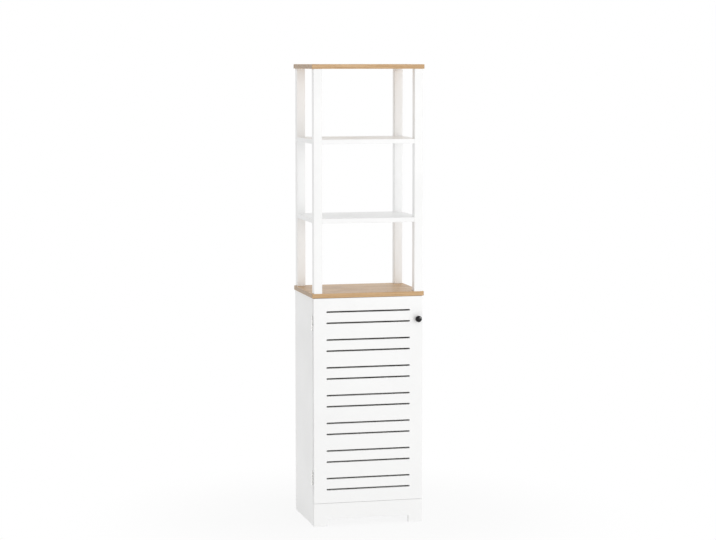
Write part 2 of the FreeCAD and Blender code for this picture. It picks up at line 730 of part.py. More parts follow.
def make_plinth():
    """Front plinth that stands on two feet beside its low cut-out."""
    blank = new_body("front_plinth_blank")
    outline = add_sketch(blank, "outline", "XZ_Plane", f"-{CARCASS_FRONT}")
    inside = f"({DOOR_HALF} - Sizes.foot_width)"
    draw_outline(outline, [
        (f"-{DOOR_HALF}", "0"), (f"-{inside}", "0"),
        (f"-{inside}", "Sizes.cutout_height"), (inside, "Sizes.cutout_height"),
        (inside, "0"), (DOOR_HALF, "0"),
        (DOOR_HALF, "Sizes.plinth_height"), (f"-{DOOR_HALF}", "Sizes.plinth_height"),
    ])
    pad(blank, outline, "Sizes.front_thickness")
    return drill("front_plinth", blank)


def make_inner_shelf():
    half = f"({INNER_HALF} - Sizes.inner_shelf_gap)"
    return plate("inner_shelf", f"-{half}", f"({CARCASS_FRONT} + Sizes.inner_shelf_setback)",
                 half, f"({BACK_PANEL_FRONT} - Sizes.inner_shelf_gap)",
                 "Sizes.inner_shelf_height", "Sizes.panel_thickness")


# Open frame --------------------------------------------------------------------------------

def make_post(side, sign, end):
    name = f"post_{end}_{side}"
    outer, inner = f"{sign} * {POST_OUTSIDE}", f"{sign} * {POST_INSIDE}"
    left, right = (outer, inner) if sign < 0 else (inner, outer)
    front = FRONT if end == "front" else f"({REAR} - Sizes.post_width)"
    blank = plate(f"{name}_blank", left, front, right, f"({front} + Sizes.post_width)",
                  "Sizes.cabinet_height", f"({TOP_BOARD_BOTTOM} - Sizes.cabinet_height)")
    round_edges(blank, lambda start, end: not level_with(start.z, end.z), "Sizes.post_edge_round")
    return drill(name, blank)


def make_open_shelf(name, bottom):
    """Shelf as wide and deep as the frame, notched round the four posts."""
    blank = new_body(f"{name}_blank")
    outline = add_sketch(blank, "outline", "XY_Plane", bottom)
    front_notch, rear_notch = f"({FRONT} + Sizes.post_width)", f"({REAR} - Sizes.post_width)"
    right_side = [
        (POST_INSIDE, FRONT), (POST_INSIDE, front_notch), (POST_OUTSIDE, front_notch),
        (POST_OUTSIDE, rear_notch), (POST_INSIDE, rear_notch), (POST_INSIDE, REAR),
    ]
    left_side = [(f"-{across}", along) for across, along in reversed(right_side)]
    draw_outline(outline, right_side + left_side)
    pad(blank, outline, "Sizes.panel_thickness")
    return drill(name, blank)


# Door --------------------------------------------------------------------------------------

def make_door():
    """Door panel with pairs of long slots, hinge seats and the hole of the knob's screw."""
    blank = new_body("slotted_door_blank")
    outline = add_sketch(blank, "outline", "XZ_Plane", f"-{DOOR_BACK}")
    draw_rectangle(outline, f"-{DOOR_HALF}", DOOR_BOTTOM, DOOR_HALF, DOOR_TOP)
    pad(blank, outline, "Sizes.front_thickness")
    front = value(FRONT)
    round_edges(blank, lambda start, end: level_with(start.y, end.y, front), "Sizes.door_edge_round")

    lowest_pair = (f"(({DOOR_BOTTOM} + {DOOR_TOP}) / 2"
                   " - (Sizes.slot_pairs - 1) / 2 * Sizes.slot_pair_pitch)")
    slots = add_sketch(blank, "slots", "XZ_Plane", f"-{FRONT}")
    for way in "-+":
        draw_slot(slots, f"({lowest_pair} {way} Sizes.slot_spacing / 2)",
                  "Sizes.slot_length", "Sizes.slot_width")
    slot_pair = pocket(blank, slots)
    pattern = blank.newObject("PartDesign::LinearPattern", "slot_pairs_pattern")
    pattern.Originals = [slot_pair]
    pattern.Direction = (slots, ["V_Axis"])
    pattern.Mode = "Spacing"
    pattern.setExpression("Offset", "Sizes.slot_pair_pitch")
    pattern.setExpression("Occurrences", "Sizes.slot_pairs")
    blank.Tip = pattern
    doc.recompute()
    cut_leaf_recesses(blank, DOOR_BACK, reverse=True)

    screw_hole = cylinder("knob_screw_hole",
                          radius_of("Sizes.knob_screw_diameter", "Sizes.knob_hole_play"),
                          "Sizes.front_thickness", KNOB_X, DOOR_BACK, KNOB_Z, aim(FORWARD))
    head_seat = cylinder("knob_screw_seat",
                         radius_of("Sizes.knob_screw_head_diameter", "2 * Sizes.knob_hole_play"),
                         "Sizes.knob_screw_head_height", KNOB_X, DOOR_BACK, KNOB_Z, aim(FORWARD))
    drilled["slotted_door"].append(fuse("knob_screw_room", [screw_hole, head_seat]))
    return drill("slotted_door", blank)


def make_knob():
    """Turned knob: flat base, slim neck, wide cap with a domed face; local +Z points forward."""
    body = new_body("knob")
    hole = radius_of("Sizes.knob_screw_diameter", "Sizes.pilot_play")
    base, neck = radius_of("Sizes.knob_base_diameter"), radius_of("Sizes.knob_neck_diameter")
    rim = radius_of("Sizes.knob_diameter")
    hole_end = "(Sizes.knob_screw_grip + Sizes.hole_end_play)"
    cap_start = "(Sizes.knob_projection - Sizes.knob_cap_height)"
    rim_height = "(Sizes.knob_projection - Sizes.knob_cap_height / 2)"
    corners = [
        ("0", hole_end), (hole, hole_end), (hole, "0"), (base, "0"),
        (base, "Sizes.knob_base_height"), (neck, "(Sizes.knob_base_height + Sizes.knob_base_taper)"),
        (neck, f"({cap_start} - Sizes.knob_cap_flare)"), (rim, cap_start), (rim, rim_height),
    ]
    profile = add_sketch(body, "profile", "XZ_Plane")
    points = [Vector(value(across), value(along), 0) for across, along in corners]
    apex = Vector(0, value("Sizes.knob_projection"), 0)
    rim_radius = points[-1].x
    dome_height = apex.y - points[-1].y
    dome_radius = (rim_radius ** 2 + dome_height ** 2) / (2 * dome_height)
    half_way = rim_radius / 2
    dome_middle = Vector(half_way, apex.y - dome_radius + (dome_radius ** 2 - half_way ** 2) ** 0.5, 0)
    profile.addGeometry([Part.LineSegment(a, b) for a, b in zip(points, points[1:])], False)
    dome = profile.addGeometry(Part.Arc(points[-1], dome_middle, apex), False)
    axis_line = profile.addGeometry(Part.LineSegment(apex, points[0]), False)
    last = len(points) - 2
    for index, (across, along) in enumerate(corners[:-1]):
        bind_point(profile, index, 1, across, along)
        if index:
            profile.addConstraint(Sketcher.Constraint("Coincident", index - 1, 2, index, 1))
    bind_point(profile, last, 2, *corners[-1])
    bind_point(profile, axis_line, 1, "0", "Sizes.knob_projection")
    # An arc is stored from its lower angle on, so the end that lies on the rim is looked up
    arc = profile.Geometry[dome]
    rim_end, apex_end = (1, 2) if (arc.StartPoint - points[-1]).Length < 1e-6 else (2, 1)
    profile.addConstraint(Sketcher.Constraint("Coincident", dome, rim_end, last, 2))
    profile.addConstraint(Sketcher.Constraint("Coincident", dome, apex_end, axis_line, 1))
    profile.addConstraint(Sketcher.Constraint("PointOnObject", dome, 3, -2))
    profile.addConstraint(Sketcher.Constraint("Coincident", axis_line, 2, 0, 1))
    turning = body.newObject("PartDesign::Revolution", "knob_turning")
    turning.Profile = profile
    turning.ReferenceAxis = (profile, ["V_Axis"])
    turning.Angle = 360
    doc.recompute()
    rim_level = value(rim_height)
    round_edges(body, lambda start, end: level_with(start.z, end.z, rim_level), "Sizes.knob_rim_round")
    place(body, KNOB_X, FRONT, KNOB_Z, aim(FORWARD))
    return body


def make_knob_screw():
    """Machine screw from the back of the door into the knob."""
    head, shank = radius_of("Sizes.knob_screw_head_diameter"), radius_of("Sizes.knob_screw_diameter")
    head_height = "Sizes.knob_screw_head_height"
    end = "(Sizes.front_thickness + Sizes.knob_screw_grip)"
    body = turned("knob_screw", [("0", "0"), (head, "0"), (head, head_height), (shank, head_height),
                                 (shank, end), ("0", end)])
    place(body, KNOB_X, DOOR_BACK, KNOB_Z, aim(FORWARD))
    return body


# Hinges ------------------------------------------------------------------------------------

def make_leaf(name, sign):
    """One hinge leaf about its own pin axis; sign tells which side of the axis it lies on."""
    barrel, bore = (radius_of("Sizes.hinge_barrel_diameter"),
                    radius_of("Sizes.hinge_pin_diameter", "Sizes.hinge_pin_play"))
    count = round(value("Sizes.hinge_knuckles"))
    pitch = f"((Sizes.hinge_length + Sizes.hinge_knuckle_gap) / {count})"
    thickness = "Sizes.hinge_leaf_thickness"
    near_face = "Sizes.hinge_leaf_gap / 2"
    leaf_y = f"({near_face})" if sign > 0 else f"(-{near_face} - {thickness})"
    plate_start = f"({barrel} + Sizes.hinge_barrel_gap)"
    bottom = "(-Sizes.hinge_length / 2)"
    pieces = [box(f"{name}_plate", plate_start, leaf_y, bottom,
                  f"(Sizes.hinge_leaf_width - {plate_start})", thickness, "Sizes.hinge_length")]
    own_knuckles = range(0, count, 2) if sign > 0 else range(1, count, 2)
    for number in own_knuckles:
        low = f"({bottom} + {number} * {pitch})"
        height = f"({pitch} - Sizes.hinge_knuckle_gap)"
        pieces.append(cylinder(f"{name}_knuckle_{number}", barrel, height, z=low))
        pieces.append(box(f"{name}_web_{number}", "0", leaf_y, low, plate_start, thickness, height))
    bore_tool = cylinder(f"{name}_bore", bore, "2 * Sizes.hinge_length", z="(-Sizes.hinge_length)")
    return cut(f"{name}_master", fuse(f"{name}_blank", pieces), bore_tool)


def make_leaves(name, sign):
    """Both leaves of one kind, at their heights, with the screw holes cut."""
    master = make_leaf(name, sign)
    places = [(HINGE_X, HINGE_Y, height, Rotation()) for height in HINGE_HEIGHTS]
    return drill(name, group(f"{name}_blanks", master, places))


def make_hinge_pins():
    """Pins whose heads rest on the top knuckle of the frame leaf."""
    pin, head = radius_of("Sizes.hinge_pin_diameter"), radius_of("Sizes.hinge_pin_head_diameter")
    bottom, top = "(-Sizes.hinge_length / 2)", "(Sizes.hinge_length / 2)"
    head_top = f"({top} + Sizes.hinge_pin_head_height)"
    master = turned("hinge_pin", [("0", bottom), (pin, bottom), (pin, top), (head, top),
                                  (head, head_top), ("0", head_top)])
    places = [(HINGE_X, HINGE_Y, height, Rotation()) for height in HINGE_HEIGHTS]
    return group("hinge_pins", master, places)


# Magnetic catch ----------------------------------------------------------------------------

def make_catch_housing():
    """Plastic block with two screw ears and a front pocket for the magnet."""
    blank = new_body("catch_housing_blank")
    front = f"({CATCH_FRONT} + Sizes.catch_front_setback)"
    outline = add_sketch(blank, "outline", "XZ_Plane", f"-({front} + Sizes.catch_depth)")
    block_x = f"({INNER_HALF} - Sizes.catch_thickness)"
    ear_x = f"({INNER_HALF} - Sizes.catch_ear_thickness)"
    half, block_half = "(Sizes.catch_length / 2)", "(Sizes.catch_block_length / 2)"
    draw_outline(outline, [
        (INNER_HALF, f"({CATCH_Z} - {half})"), (INNER_HALF, f"({CATCH_Z} + {half})"),
        (ear_x, f"({CATCH_Z} + {half})"), (ear_x, f"({CATCH_Z} + {block_half})"),
        (block_x, f"({CATCH_Z} + {block_half})"), (block_x, f"({CATCH_Z} - {block_half})"),
        (ear_x, f"({CATCH_Z} - {block_half})"), (ear_x, f"({CATCH_Z} - {half})"),
    ])
    pad(blank, outline, "Sizes.catch_depth")
    room = add_sketch(blank, "magnet_room", "XZ_Plane", f"-{front}")
    half_width = "(Sizes.magnet_thickness / 2 + Sizes.pole_thickness + Sizes.pole_play)"
    half_height = "(Sizes.magnet_length / 2 + Sizes.pole_play)"
    draw_rectangle(room, f"({CATCH_X} - {half_width})", f"({CATCH_Z} - {half_height})",
                   f"({CATCH_X} + {half_width})", f"({CATCH_Z} + {half_height})")
    pocket(blank, room, "Sizes.magnet_depth")
    return drill("catch_housing", blank)


def make_magnet():
    front = f"({CATCH_FRONT} + Sizes.catch_front_setback)"
    return box("catch_magnet", f"({CATCH_X} - Sizes.magnet_thickness / 2)", front,
               f"({CATCH_Z} - Sizes.magnet_length / 2)",
               "Sizes.magnet_thickness", "Sizes.magnet_depth", "Sizes.magnet_length")


def make_pole_plates():
    """Steel plates on both faces of the magnet, standing a little out of the housing."""
    depth = "(Sizes.magnet_depth + Sizes.catch_front_setback)"
    bottom = f"({CATCH_Z} - Sizes.magnet_length / 2)"
    plates = doc.addObject("Part::Compound", "catch_pole_plates")
    inner_x = f"({CATCH_X} - Sizes.magnet_thickness / 2 - Sizes.pole_thickness)"
    outer_x = f"({CATCH_X} + Sizes.magnet_thickness / 2)"
    plates.Links = [
        box(f"pole_plate_{side}", left, CATCH_FRONT, bottom,
            "Sizes.pole_thickness", depth, "Sizes.magnet_length")
        for side, left in (("inner", inner_x), ("outer", outer_x))
    ]
    return plates


def make_strike_plate():
    blank = box("strike_plate_blank", f"({CATCH_X} - Sizes.strike_width / 2)", DOOR_BACK,
                f"({CATCH_Z} - Sizes.strike_length / 2)",
                "Sizes.strike_width", "Sizes.strike_thickness", "Sizes.strike_length")
    return drill("strike_plate", blank)


# All sub-parts -----------------------------------------------------------------------------

pieces = [make_board("cabinet_top_board", CARCASS_TOP), make_board("top_board", TOP_BOARD_BOTTOM)]
for side, sign in SIDES.items():
    pieces.append(make_side_panel(side, sign))
    for end in ("front", "rear"):
        pieces.append(make_post(side, sign, end))
pieces += [make_bottom_panel(), make_back_panel(), make_plinth(), make_inner_shelf()]
pieces += [make_open_shelf(f"{shelf}_open_shelf", bottom) for shelf, bottom in SHELF_BOTTOMS.items()]
pieces += [make_door(), make_knob(), make_knob_screw()]
pieces += [make_leaves("hinge_frame_leaves", 1), make_leaves("hinge_door_leaves", -1), make_hinge_pins()]
pieces += [make_catch_housing(), make_magnet(), make_pole_plates(), make_strike_plate()]
pieces += [group(name, master, joined[name]) for name, master in (
    ("cam_bolts", cam_bolt), ("wood_dowels", dowel), ("shelf_pins", shelf_pin),
    ("floor_glides", glide), ("back_panel_nails", nail), ("hinge_frame_screws", flat_screw),
    ("hinge_door_screws", flat_screw), ("catch_screws", round_screw), ("strike_screw", flat_screw))]
pieces.append(group("cam_locks", cam, joined["cam_bolts"]))
doc.recompute()

for item in doc.Objects:
    if "Invalid" in item.State or "Error" in item.State:
        raise RuntimeError(f"{item.Label} failed: {item.State}")
for piece in pieces:
    if piece.Shape.isNull() or not piece.Shape.isValid() or not piece.Shape.Solids:
        raise RuntimeError(f"{piece.Label} has no valid shape")

os.makedirs("parts", exist_ok=True)
for piece in pieces:
    piece.Shape.exportStep(f"parts/{piece.Label}.step")
    print(f"{piece.Label}: {len(piece.Shape.Solids)} solids, {piece.Shape.Volume / 1000:.2f} cm3")
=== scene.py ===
"""Looks of a tall bathroom cabinet, dressed piece by piece over its packed construction.

Metres, Z up, and the front faces -Y. Every piece takes its place and its outer size from the
solid that it stands for. The sizes named here are those that a solid's box doesn't give: slots,
grooves and seats, softened edges, and the details of the small fittings.
"""
import json
import logging
import math
from collections.abc import Sequence
from dataclasses import dataclass
from enum import Enum
from typing import Any

import bmesh
import bpy
from mathutils import Matrix, Vector


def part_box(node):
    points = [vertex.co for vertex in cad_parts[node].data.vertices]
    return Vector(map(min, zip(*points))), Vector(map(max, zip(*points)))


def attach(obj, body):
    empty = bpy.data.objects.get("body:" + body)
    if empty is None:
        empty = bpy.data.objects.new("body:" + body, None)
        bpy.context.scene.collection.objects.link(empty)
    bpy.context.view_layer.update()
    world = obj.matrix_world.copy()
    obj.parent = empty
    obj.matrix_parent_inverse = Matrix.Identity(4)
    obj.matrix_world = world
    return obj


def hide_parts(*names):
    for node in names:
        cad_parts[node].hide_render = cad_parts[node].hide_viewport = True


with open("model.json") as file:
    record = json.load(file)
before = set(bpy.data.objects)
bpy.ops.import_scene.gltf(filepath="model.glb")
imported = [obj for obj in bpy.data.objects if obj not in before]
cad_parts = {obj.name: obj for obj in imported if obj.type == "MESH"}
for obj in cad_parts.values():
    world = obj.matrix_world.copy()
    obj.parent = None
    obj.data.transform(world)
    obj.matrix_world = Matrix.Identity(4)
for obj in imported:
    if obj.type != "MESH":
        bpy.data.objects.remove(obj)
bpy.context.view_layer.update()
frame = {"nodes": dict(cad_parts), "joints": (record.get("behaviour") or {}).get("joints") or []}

LOG = logging.getLogger("tall_bathroom_cabinet")

Pair = tuple[float, float]
Triple = tuple[float, float, float]
Colour = tuple[float, float, float]

HINGE_X, HINGE_Y, _ = frame["joints"][0]["pos_m"]

ROUNDING_STEPS = 3
MERGE_DISTANCE = 1e-6
SORTING_DIGITS = 5
FLAT_ACROSS_AXIS = 0.999

SOFT_EDGE = "soft_edge"
TURN = "turn"
COPIES = "fitting_copies"

FLOAT = "NodeSocketFloat"
VECTOR = "NodeSocketVector"
COLOUR = "NodeSocketColor"
INTEGER = "NodeSocketInt"
OBJECT = "NodeSocketObject"
GEOMETRY = "NodeSocketGeometry"
MATERIAL = "NodeSocketMaterial"


class Body(Enum):
    """The bodies of the construction that a piece can ride on."""

    CABINET = "cabinet"
    DOOR = "door"


class Axis(Enum):
    """The axis that an outline is pushed along; the outline lies across it."""

    Y = 1
    Z = 2

    def point(self, across: float, up: float, depth: float) -> Vector:
        """Point of an outline at a depth along the axis.

        Args:
            across: The point's first measure in the outline.
            up: Its second measure in the outline.
            depth: Where it lies on the axis.

        Returns:
            The point.
        """
        if self is Axis.Y:
            return Vector((across, depth, up))
        return Vector((across, up, depth))


class Carving(Enum):
    """What carving does with its cutters."""

    TAKE_OUT = "DIFFERENCE"
    JOIN_ON = "UNION"


@dataclass(frozen=True)
class Extent:
    """Lowest and highest corner of one solid."""

    low: Vector
    high: Vector

    @classmethod
    def of(cls, node: str) -> "Extent":
        """Extent of a whole node of the construction."""
        return cls(*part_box(node))

    @property
    def centre(self) -> Vector:
        """Middle of the extent."""
        return (self.low + self.high) / 2

    @property
    def size(self) -> Vector:
        """Length of each side."""
        return self.high - self.low

    def holds(self, point: Vector, margin: float = 0.0005) -> bool:
        """Whether a point lies inside, or within a margin of the faces."""
        return all(a - margin <= p <= b + margin for a, p, b in zip(self.low, point, self.high))


def solids_of(node: str) -> list[Extent]:
    """Extents of the separate solids of one node.

    Args:
        node: Name of a node of the construction.

    Returns:
        One extent for each solid, in the order of their lowest corners.
    """
    bm = bmesh.new()
    bm.from_mesh(frame["nodes"][node].data)
    bmesh.ops.remove_doubles(bm, verts=bm.verts, dist=MERGE_DISTANCE)
    seen: set[int] = set()
    extents = []
    bm.verts.ensure_lookup_table()
    for first in bm.verts:
        if first.index in seen:
            continue
        seen.add(first.index)
        island = [first]
        for vert in island:
            for edge in vert.link_edges:
                other = edge.other_vert(vert)
                if other.index not in seen:
                    seen.add(other.index)
                    island.append(other)
        low, high = (Vector([choose(vert.co[side] for vert in island) for side in range(3)])
                     for choose in (min, max))
        extents.append(Extent(low, high))
    bm.free()
    return sorted(extents, key=lambda extent: tuple(round(value, SORTING_DIGITS)
                                                    for value in extent.low))


# Mesh code ---------------------------------------------------------------------------------

def new_mesh() -> bmesh.types.BMesh:
    """Empty mesh that already carries the soft edge attribute.

    Returns:
        The mesh.
    """
    bm = bmesh.new()
    bm.loops.layers.float.new(SOFT_EDGE)
    return bm


def as_piece(name: str, bm: bmesh.types.BMesh) -> bpy.types.Object:
    """Object made of a finished mesh, at the origin of the scene.

    Args:
        name: Name of the piece.
        bm: The mesh, which is freed.

    Returns:
        The new piece.
    """
    mesh = bpy.data.meshes.new(name)
    bm.to_mesh(mesh)
    bm.free()
    piece = bpy.data.objects.new(name, mesh)
    bpy.context.scene.collection.objects.link(piece)
    return piece


def soften(bm: bmesh.types.BMesh, radius: float) -> None:
    """Rounds every edge and marks the middle of the rounding in the soft edge attribute.

    Args:
        bm: The mesh.
        radius: Radius of the rounding.
    """
    rounded = bmesh.ops.bevel(bm, geom=list(bm.edges), offset=radius, offset_type="OFFSET",
                              profile=0.5, segments=ROUNDING_STEPS, affect="EDGES",
                              clamp_overlap=True)
    strip = set(rounded["faces"])
    mark = bm.loops.layers.float[SOFT_EDGE]
    for face in strip:
        face.smooth = True
        for loop in face.loops:
            loop[mark] = float(all(other in strip for other in loop.vert.link_faces))


def prism(name: str, outline: Sequence[Pair], axis: Axis, low: float, high: float,
          softness: float) -> bpy.types.Object:
    """Solid pushed along an axis from an outline, with every edge softened.

    Args:
        name: Name of the piece.
        outline: Corners of the closed outline, across the axis.
        axis: Axis that the outline is pushed along.
        low: Where the solid starts on the axis.
        high: Where it ends.
        softness: Radius of the softened edges.

    Returns:
        The new piece.
    """
    bm = new_mesh()
    near, far = ([bm.verts.new(axis.point(across, up, depth)) for across, up in outline]
                 for depth in (low, high))
    bm.faces.new(near)
    bm.faces.new(far)
    for index in range(len(outline)):
        before = index - 1
        bm.faces.new((near[before], near[index], far[index], far[before]))
    bmesh.ops.recalc_face_normals(bm, faces=bm.faces)
    soften(bm, softness)
    return as_piece(name, bm)


def rectangle(left: float, bottom: float, right: float, top: float) -> list[Pair]:
    """Corners of a rectangular outline."""
    return [(left, bottom), (right, bottom), (right, top), (left, top)]


def slab(name: str, extent: Extent, softness: float) -> bpy.types.Object:
    """Flat piece that fills an extent, with every edge softened."""
    outline = rectangle(extent.low.x, extent.low.y, extent.high.x, extent.high.y)
    return prism(name, outline, Axis.Z, extent.low.z, extent.high.z, softness)


def rounded_line(corners: Sequence[Pair], radii: Sequence[float],
                 steps: int = ROUNDING_STEPS) -> list[Pair]:
    """Line through corners, with an arc in the place of each inner corner.

    Args:
        corners: Corners of the line, ends included.
        radii: Radius of the arc at each inner corner, 0 for a sharp one.
        steps: Number of pieces that an arc is drawn in.

    Returns:
        The points of the line.
    """
    points = [Vector(corner) for corner in corners]
    line = [points[0]]
    for before, corner, after, radius in zip(points, points[1:], points[2:], radii):
        come, go = (corner - before).normalized(), (after - corner).normalized()
        turn = math.atan2(come.cross(go), come.dot(go))
        if not radius or abs(turn) < MERGE_DISTANCE:
            line.append(corner)
            continue
        centre = corner + (go - come).normalized() * radius / math.cos(turn / 2)
        start = corner - come * radius * abs(math.tan(turn / 2)) - centre
        line += [centre + Matrix.Rotation(turn * step / steps, 2) @ start
                 for step in range(steps + 1)]
    return [tuple(point) for point in line + [points[-1]]]


def turned(name: str, profile: Sequence[Pair], steps: int) -> bpy.types.Object:
    """Solid turned about local Z.

    Args:
        name: Name of the piece.
        profile: Pairs of radius and height, from one end on the axis to the other.
        steps: Number of faces round the axis.

    Returns:
        The new piece.
    """
    bm = new_mesh()
    points = [bm.verts.new((radius, 0, height)) for radius, height in profile]
    edges = [bm.edges.new(pair) for pair in zip(points, points[1:])]
    bmesh.ops.spin(bm, geom=points + edges, cent=(0, 0, 0), axis=(0, 0, 1), angle=math.tau,
                   steps=steps)
    bmesh.ops.remove_doubles(bm, verts=bm.verts, dist=MERGE_DISTANCE)
    bmesh.ops.recalc_face_normals(bm, faces=bm.faces)
    for face in bm.faces:
        face.smooth = abs(face.normal.z) < FLAT_ACROSS_AXIS
    return as_piece(name, bm)


def bake(piece: bpy.types.Object) -> None:
    """Turns what a piece's modifiers make into its own plain mesh.

    Args:
        piece: The piece, which loses its modifiers.
    """
    graph = bpy.context.evaluated_depsgraph_get()
    made = bpy.data.meshes.new_from_object(piece.evaluated_get(graph),
                                           preserve_all_data_layers=True, depsgraph=graph)
    before = piece.data
    piece.modifiers.clear()
    piece.data = made
    bpy.data.meshes.remove(before)
    made.name = piece.name


def joined(name: str, parts: Sequence[bpy.types.Object]) -> bpy.types.Object:
    """One piece made of several.

    Args:
        name: Name of the new piece.
        parts: The pieces that it is made of, which are removed.

    Returns:
        The new piece.
    """
    bm = new_mesh()
    for part in parts:
        bm.from_mesh(part.data)
        bpy.data.objects.remove(part)
    return as_piece(name, bm)


def face_outwards(piece: bpy.types.Object) -> None:
    """Merges a piece's doubled points and points its faces outwards.

    Args:
        piece: The piece.
    """
    bm = bmesh.new()
    bm.from_mesh(piece.data)
    bmesh.ops.remove_doubles(bm, verts=bm.verts, dist=MERGE_DISTANCE)
    bmesh.ops.recalc_face_normals(bm, faces=bm.faces)
    bm.to_mesh(piece.data)
    bm.free()


def carve(piece: bpy.types.Object, cutters: Sequence[bpy.types.Object],
          carving: Carving = Carving.TAKE_OUT) -> None:
    """Takes cutters out of a piece or joins them on, and removes them.

    Args:
        piece: The piece.
        cutters: The cutters, which stand apart from each other.
        carving: What is done with them.
    """
    if not cutters:
        return
    cutter = joined("cutter", cutters)
    modifier = piece.modifiers.new("carve", "BOOLEAN")
    modifier.object = cutter
    modifier.operation = carving.value
    modifier.solver = "EXACT"
    bake(piece)
    bpy.data.objects.remove(cutter)
    face_outwards(piece)


# Node trees --------------------------------------------------------------------------------

class NodeWriter:
    """Adds nodes to one tree and joins them up as they are made."""

    def __init__(self, tree: bpy.types.NodeTree) -> None:
        """Starts writing in a tree."""
        self.tree = tree

    def add(self, kind: str, inputs: dict[str | int, Any] | None = None,
            **settings: Any) -> bpy.types.Node:
        """Adds a node.

        Args:
            kind: Type name of the node.
            inputs: Value or source socket for each of its inputs, by name or number.
            **settings: Properties of the node itself.

        Returns:
            The new node.
        """
        node = self.tree.nodes.new(kind)
        for key, setting in settings.items():
            setattr(node, key, setting)
        for key, source in (inputs or {}).items():
            if isinstance(source, bpy.types.NodeSocket):
                self.tree.links.new(source, node.inputs[key])
            else:
                node.inputs[key].default_value = source
        return node

    def math(self, operation: str, *values: Any) -> bpy.types.NodeSocket:
        """Result of a Math node on up to three values."""
        node = self.add("ShaderNodeMath", dict(enumerate(values)), operation=operation)
        return node.outputs[0]

    def ramp(self, value: Any, low: float, high: float, start: float = 0.0,
             end: float = 1.0) -> bpy.types.NodeSocket:
        """Takes a value from one range to another, smoothly and clamped.

        Args:
            value: The value.
            low: Low end of its range.
            high: High end of its range.
            start: What the low end becomes.
            end: What the high end becomes.

        Returns:
            The result.
        """
        node = self.add("ShaderNodeMapRange", {"Value": value, "From Min": low, "From Max": high,
                                               "To Min": start, "To Max": end},
                        interpolation_type="SMOOTHSTEP")
        return node.outputs["Result"]

    def mix(self, factor: Any, low: Any, high: Any) -> bpy.types.NodeSocket:
        """Colour between two others, each a socket or a linear colour.

        Args:
            factor: 0 for the first colour, 1 for the second.
            low: First colour.
            high: Second colour.

        Returns:
            The mixed colour.
        """
        first, second = (each if isinstance(each, bpy.types.NodeSocket) else (*each, 1.0)
                         for each in (low, high))
        node = self.add("ShaderNodeMix", {0: factor, 6: first, 7: second}, data_type="RGBA")
        return node.outputs[2]

    def vector(self, x: Any = 0.0, y: Any = 0.0, z: Any = 0.0) -> bpy.types.NodeSocket:
        """Vector made of three numbers."""
        return self.add("ShaderNodeCombineXYZ", {"X": x, "Y": y, "Z": z}).outputs[0]

    def parts(self, vector: Any) -> Sequence[bpy.types.NodeSocket]:
        """The three numbers of a vector."""
        return self.add("ShaderNodeSeparateXYZ", {0: vector}).outputs

    def vector_math(self, operation: str, *values: Any) -> bpy.types.NodeSocket:
        """Vector that a Vector Math node makes of others."""
        node = self.add("ShaderNodeVectorMath", dict(enumerate(values)), operation=operation)
        return node.outputs[0]


class GroupWriter(NodeWriter):
    """Writes a node group with named inputs and outputs."""

    def __init__(self, name: str, kind: str, inputs: dict[str, str],
                 outputs: dict[str, str]) -> None:
        """Makes an empty group.

        Args:
            name: Name of the group.
            kind: Type of the tree.
            inputs: Socket type of each input, by name.
            outputs: Socket type of each output, by name.
        """
        super().__init__(bpy.data.node_groups.new(name, kind))
        for sockets, in_out in ((inputs, "INPUT"), (outputs, "OUTPUT")):
            for label, socket_type in sockets.items():
                self.tree.interface.new_socket(label, in_out=in_out, socket_type=socket_type)
        self.given = self.add("NodeGroupInput").outputs

    def hand_out(self, results: dict[str, Any]) -> bpy.types.NodeTree:
        """Joins the results to the group's outputs and returns the tree."""
        self.add("NodeGroupOutput", results)
        return self.tree


def run_tree(piece: bpy.types.Object, tree: bpy.types.NodeTree, values: dict[str, Any]) -> None:
    """Runs a Geometry Nodes tree on a piece and keeps the result as its mesh.

    Args:
        piece: The piece, whose mesh the tree starts from.
        tree: The tree.
        values: Value of each named input that is set.
    """
    modifier = piece.modifiers.new(tree.name, "NODES")
    modifier.node_group = tree
    for item in tree.interface.items_tree:
        if item.in_out == "INPUT" and item.name in values:
            modifier[item.identifier] = values[item.name]
    bake(piece)


def copies_tree() -> bpy.types.NodeTree:
    """Tree that sets one fitting down at every point of a mesh, turned by the point's angles.

    Returns:
        The tree.
    """
    net = GroupWriter(COPIES, "GeometryNodeTree",
                      {"Places": GEOMETRY, "Fitting": OBJECT, "Finish": MATERIAL},
                      {"Fittings": GEOMETRY})
    fitting = net.add("GeometryNodeObjectInfo", {"Object": net.given["Fitting"]})
    angles = net.add("GeometryNodeInputNamedAttribute", {"Name": TURN}, data_type="FLOAT_VECTOR")
    turn = net.add("FunctionNodeEulerToRotation", {"Euler": angles.outputs["Attribute"]})
    copies = net.add("GeometryNodeInstanceOnPoints", {
        "Points": net.given["Places"], "Instance": fitting.outputs["Geometry"],
        "Rotation": turn.outputs["Rotation"]})
    solid = net.add("GeometryNodeRealizeInstances", {"Geometry": copies.outputs["Instances"]})
    dressed = net.add("GeometryNodeSetMaterial", {"Geometry": solid.outputs["Geometry"],
                                                  "Material": net.given["Finish"]})
    return net.hand_out({"Fittings": dressed.outputs["Geometry"]})


SLOT_CORNER_STEPS = 8
SLOT_END_ROUND = 0.499


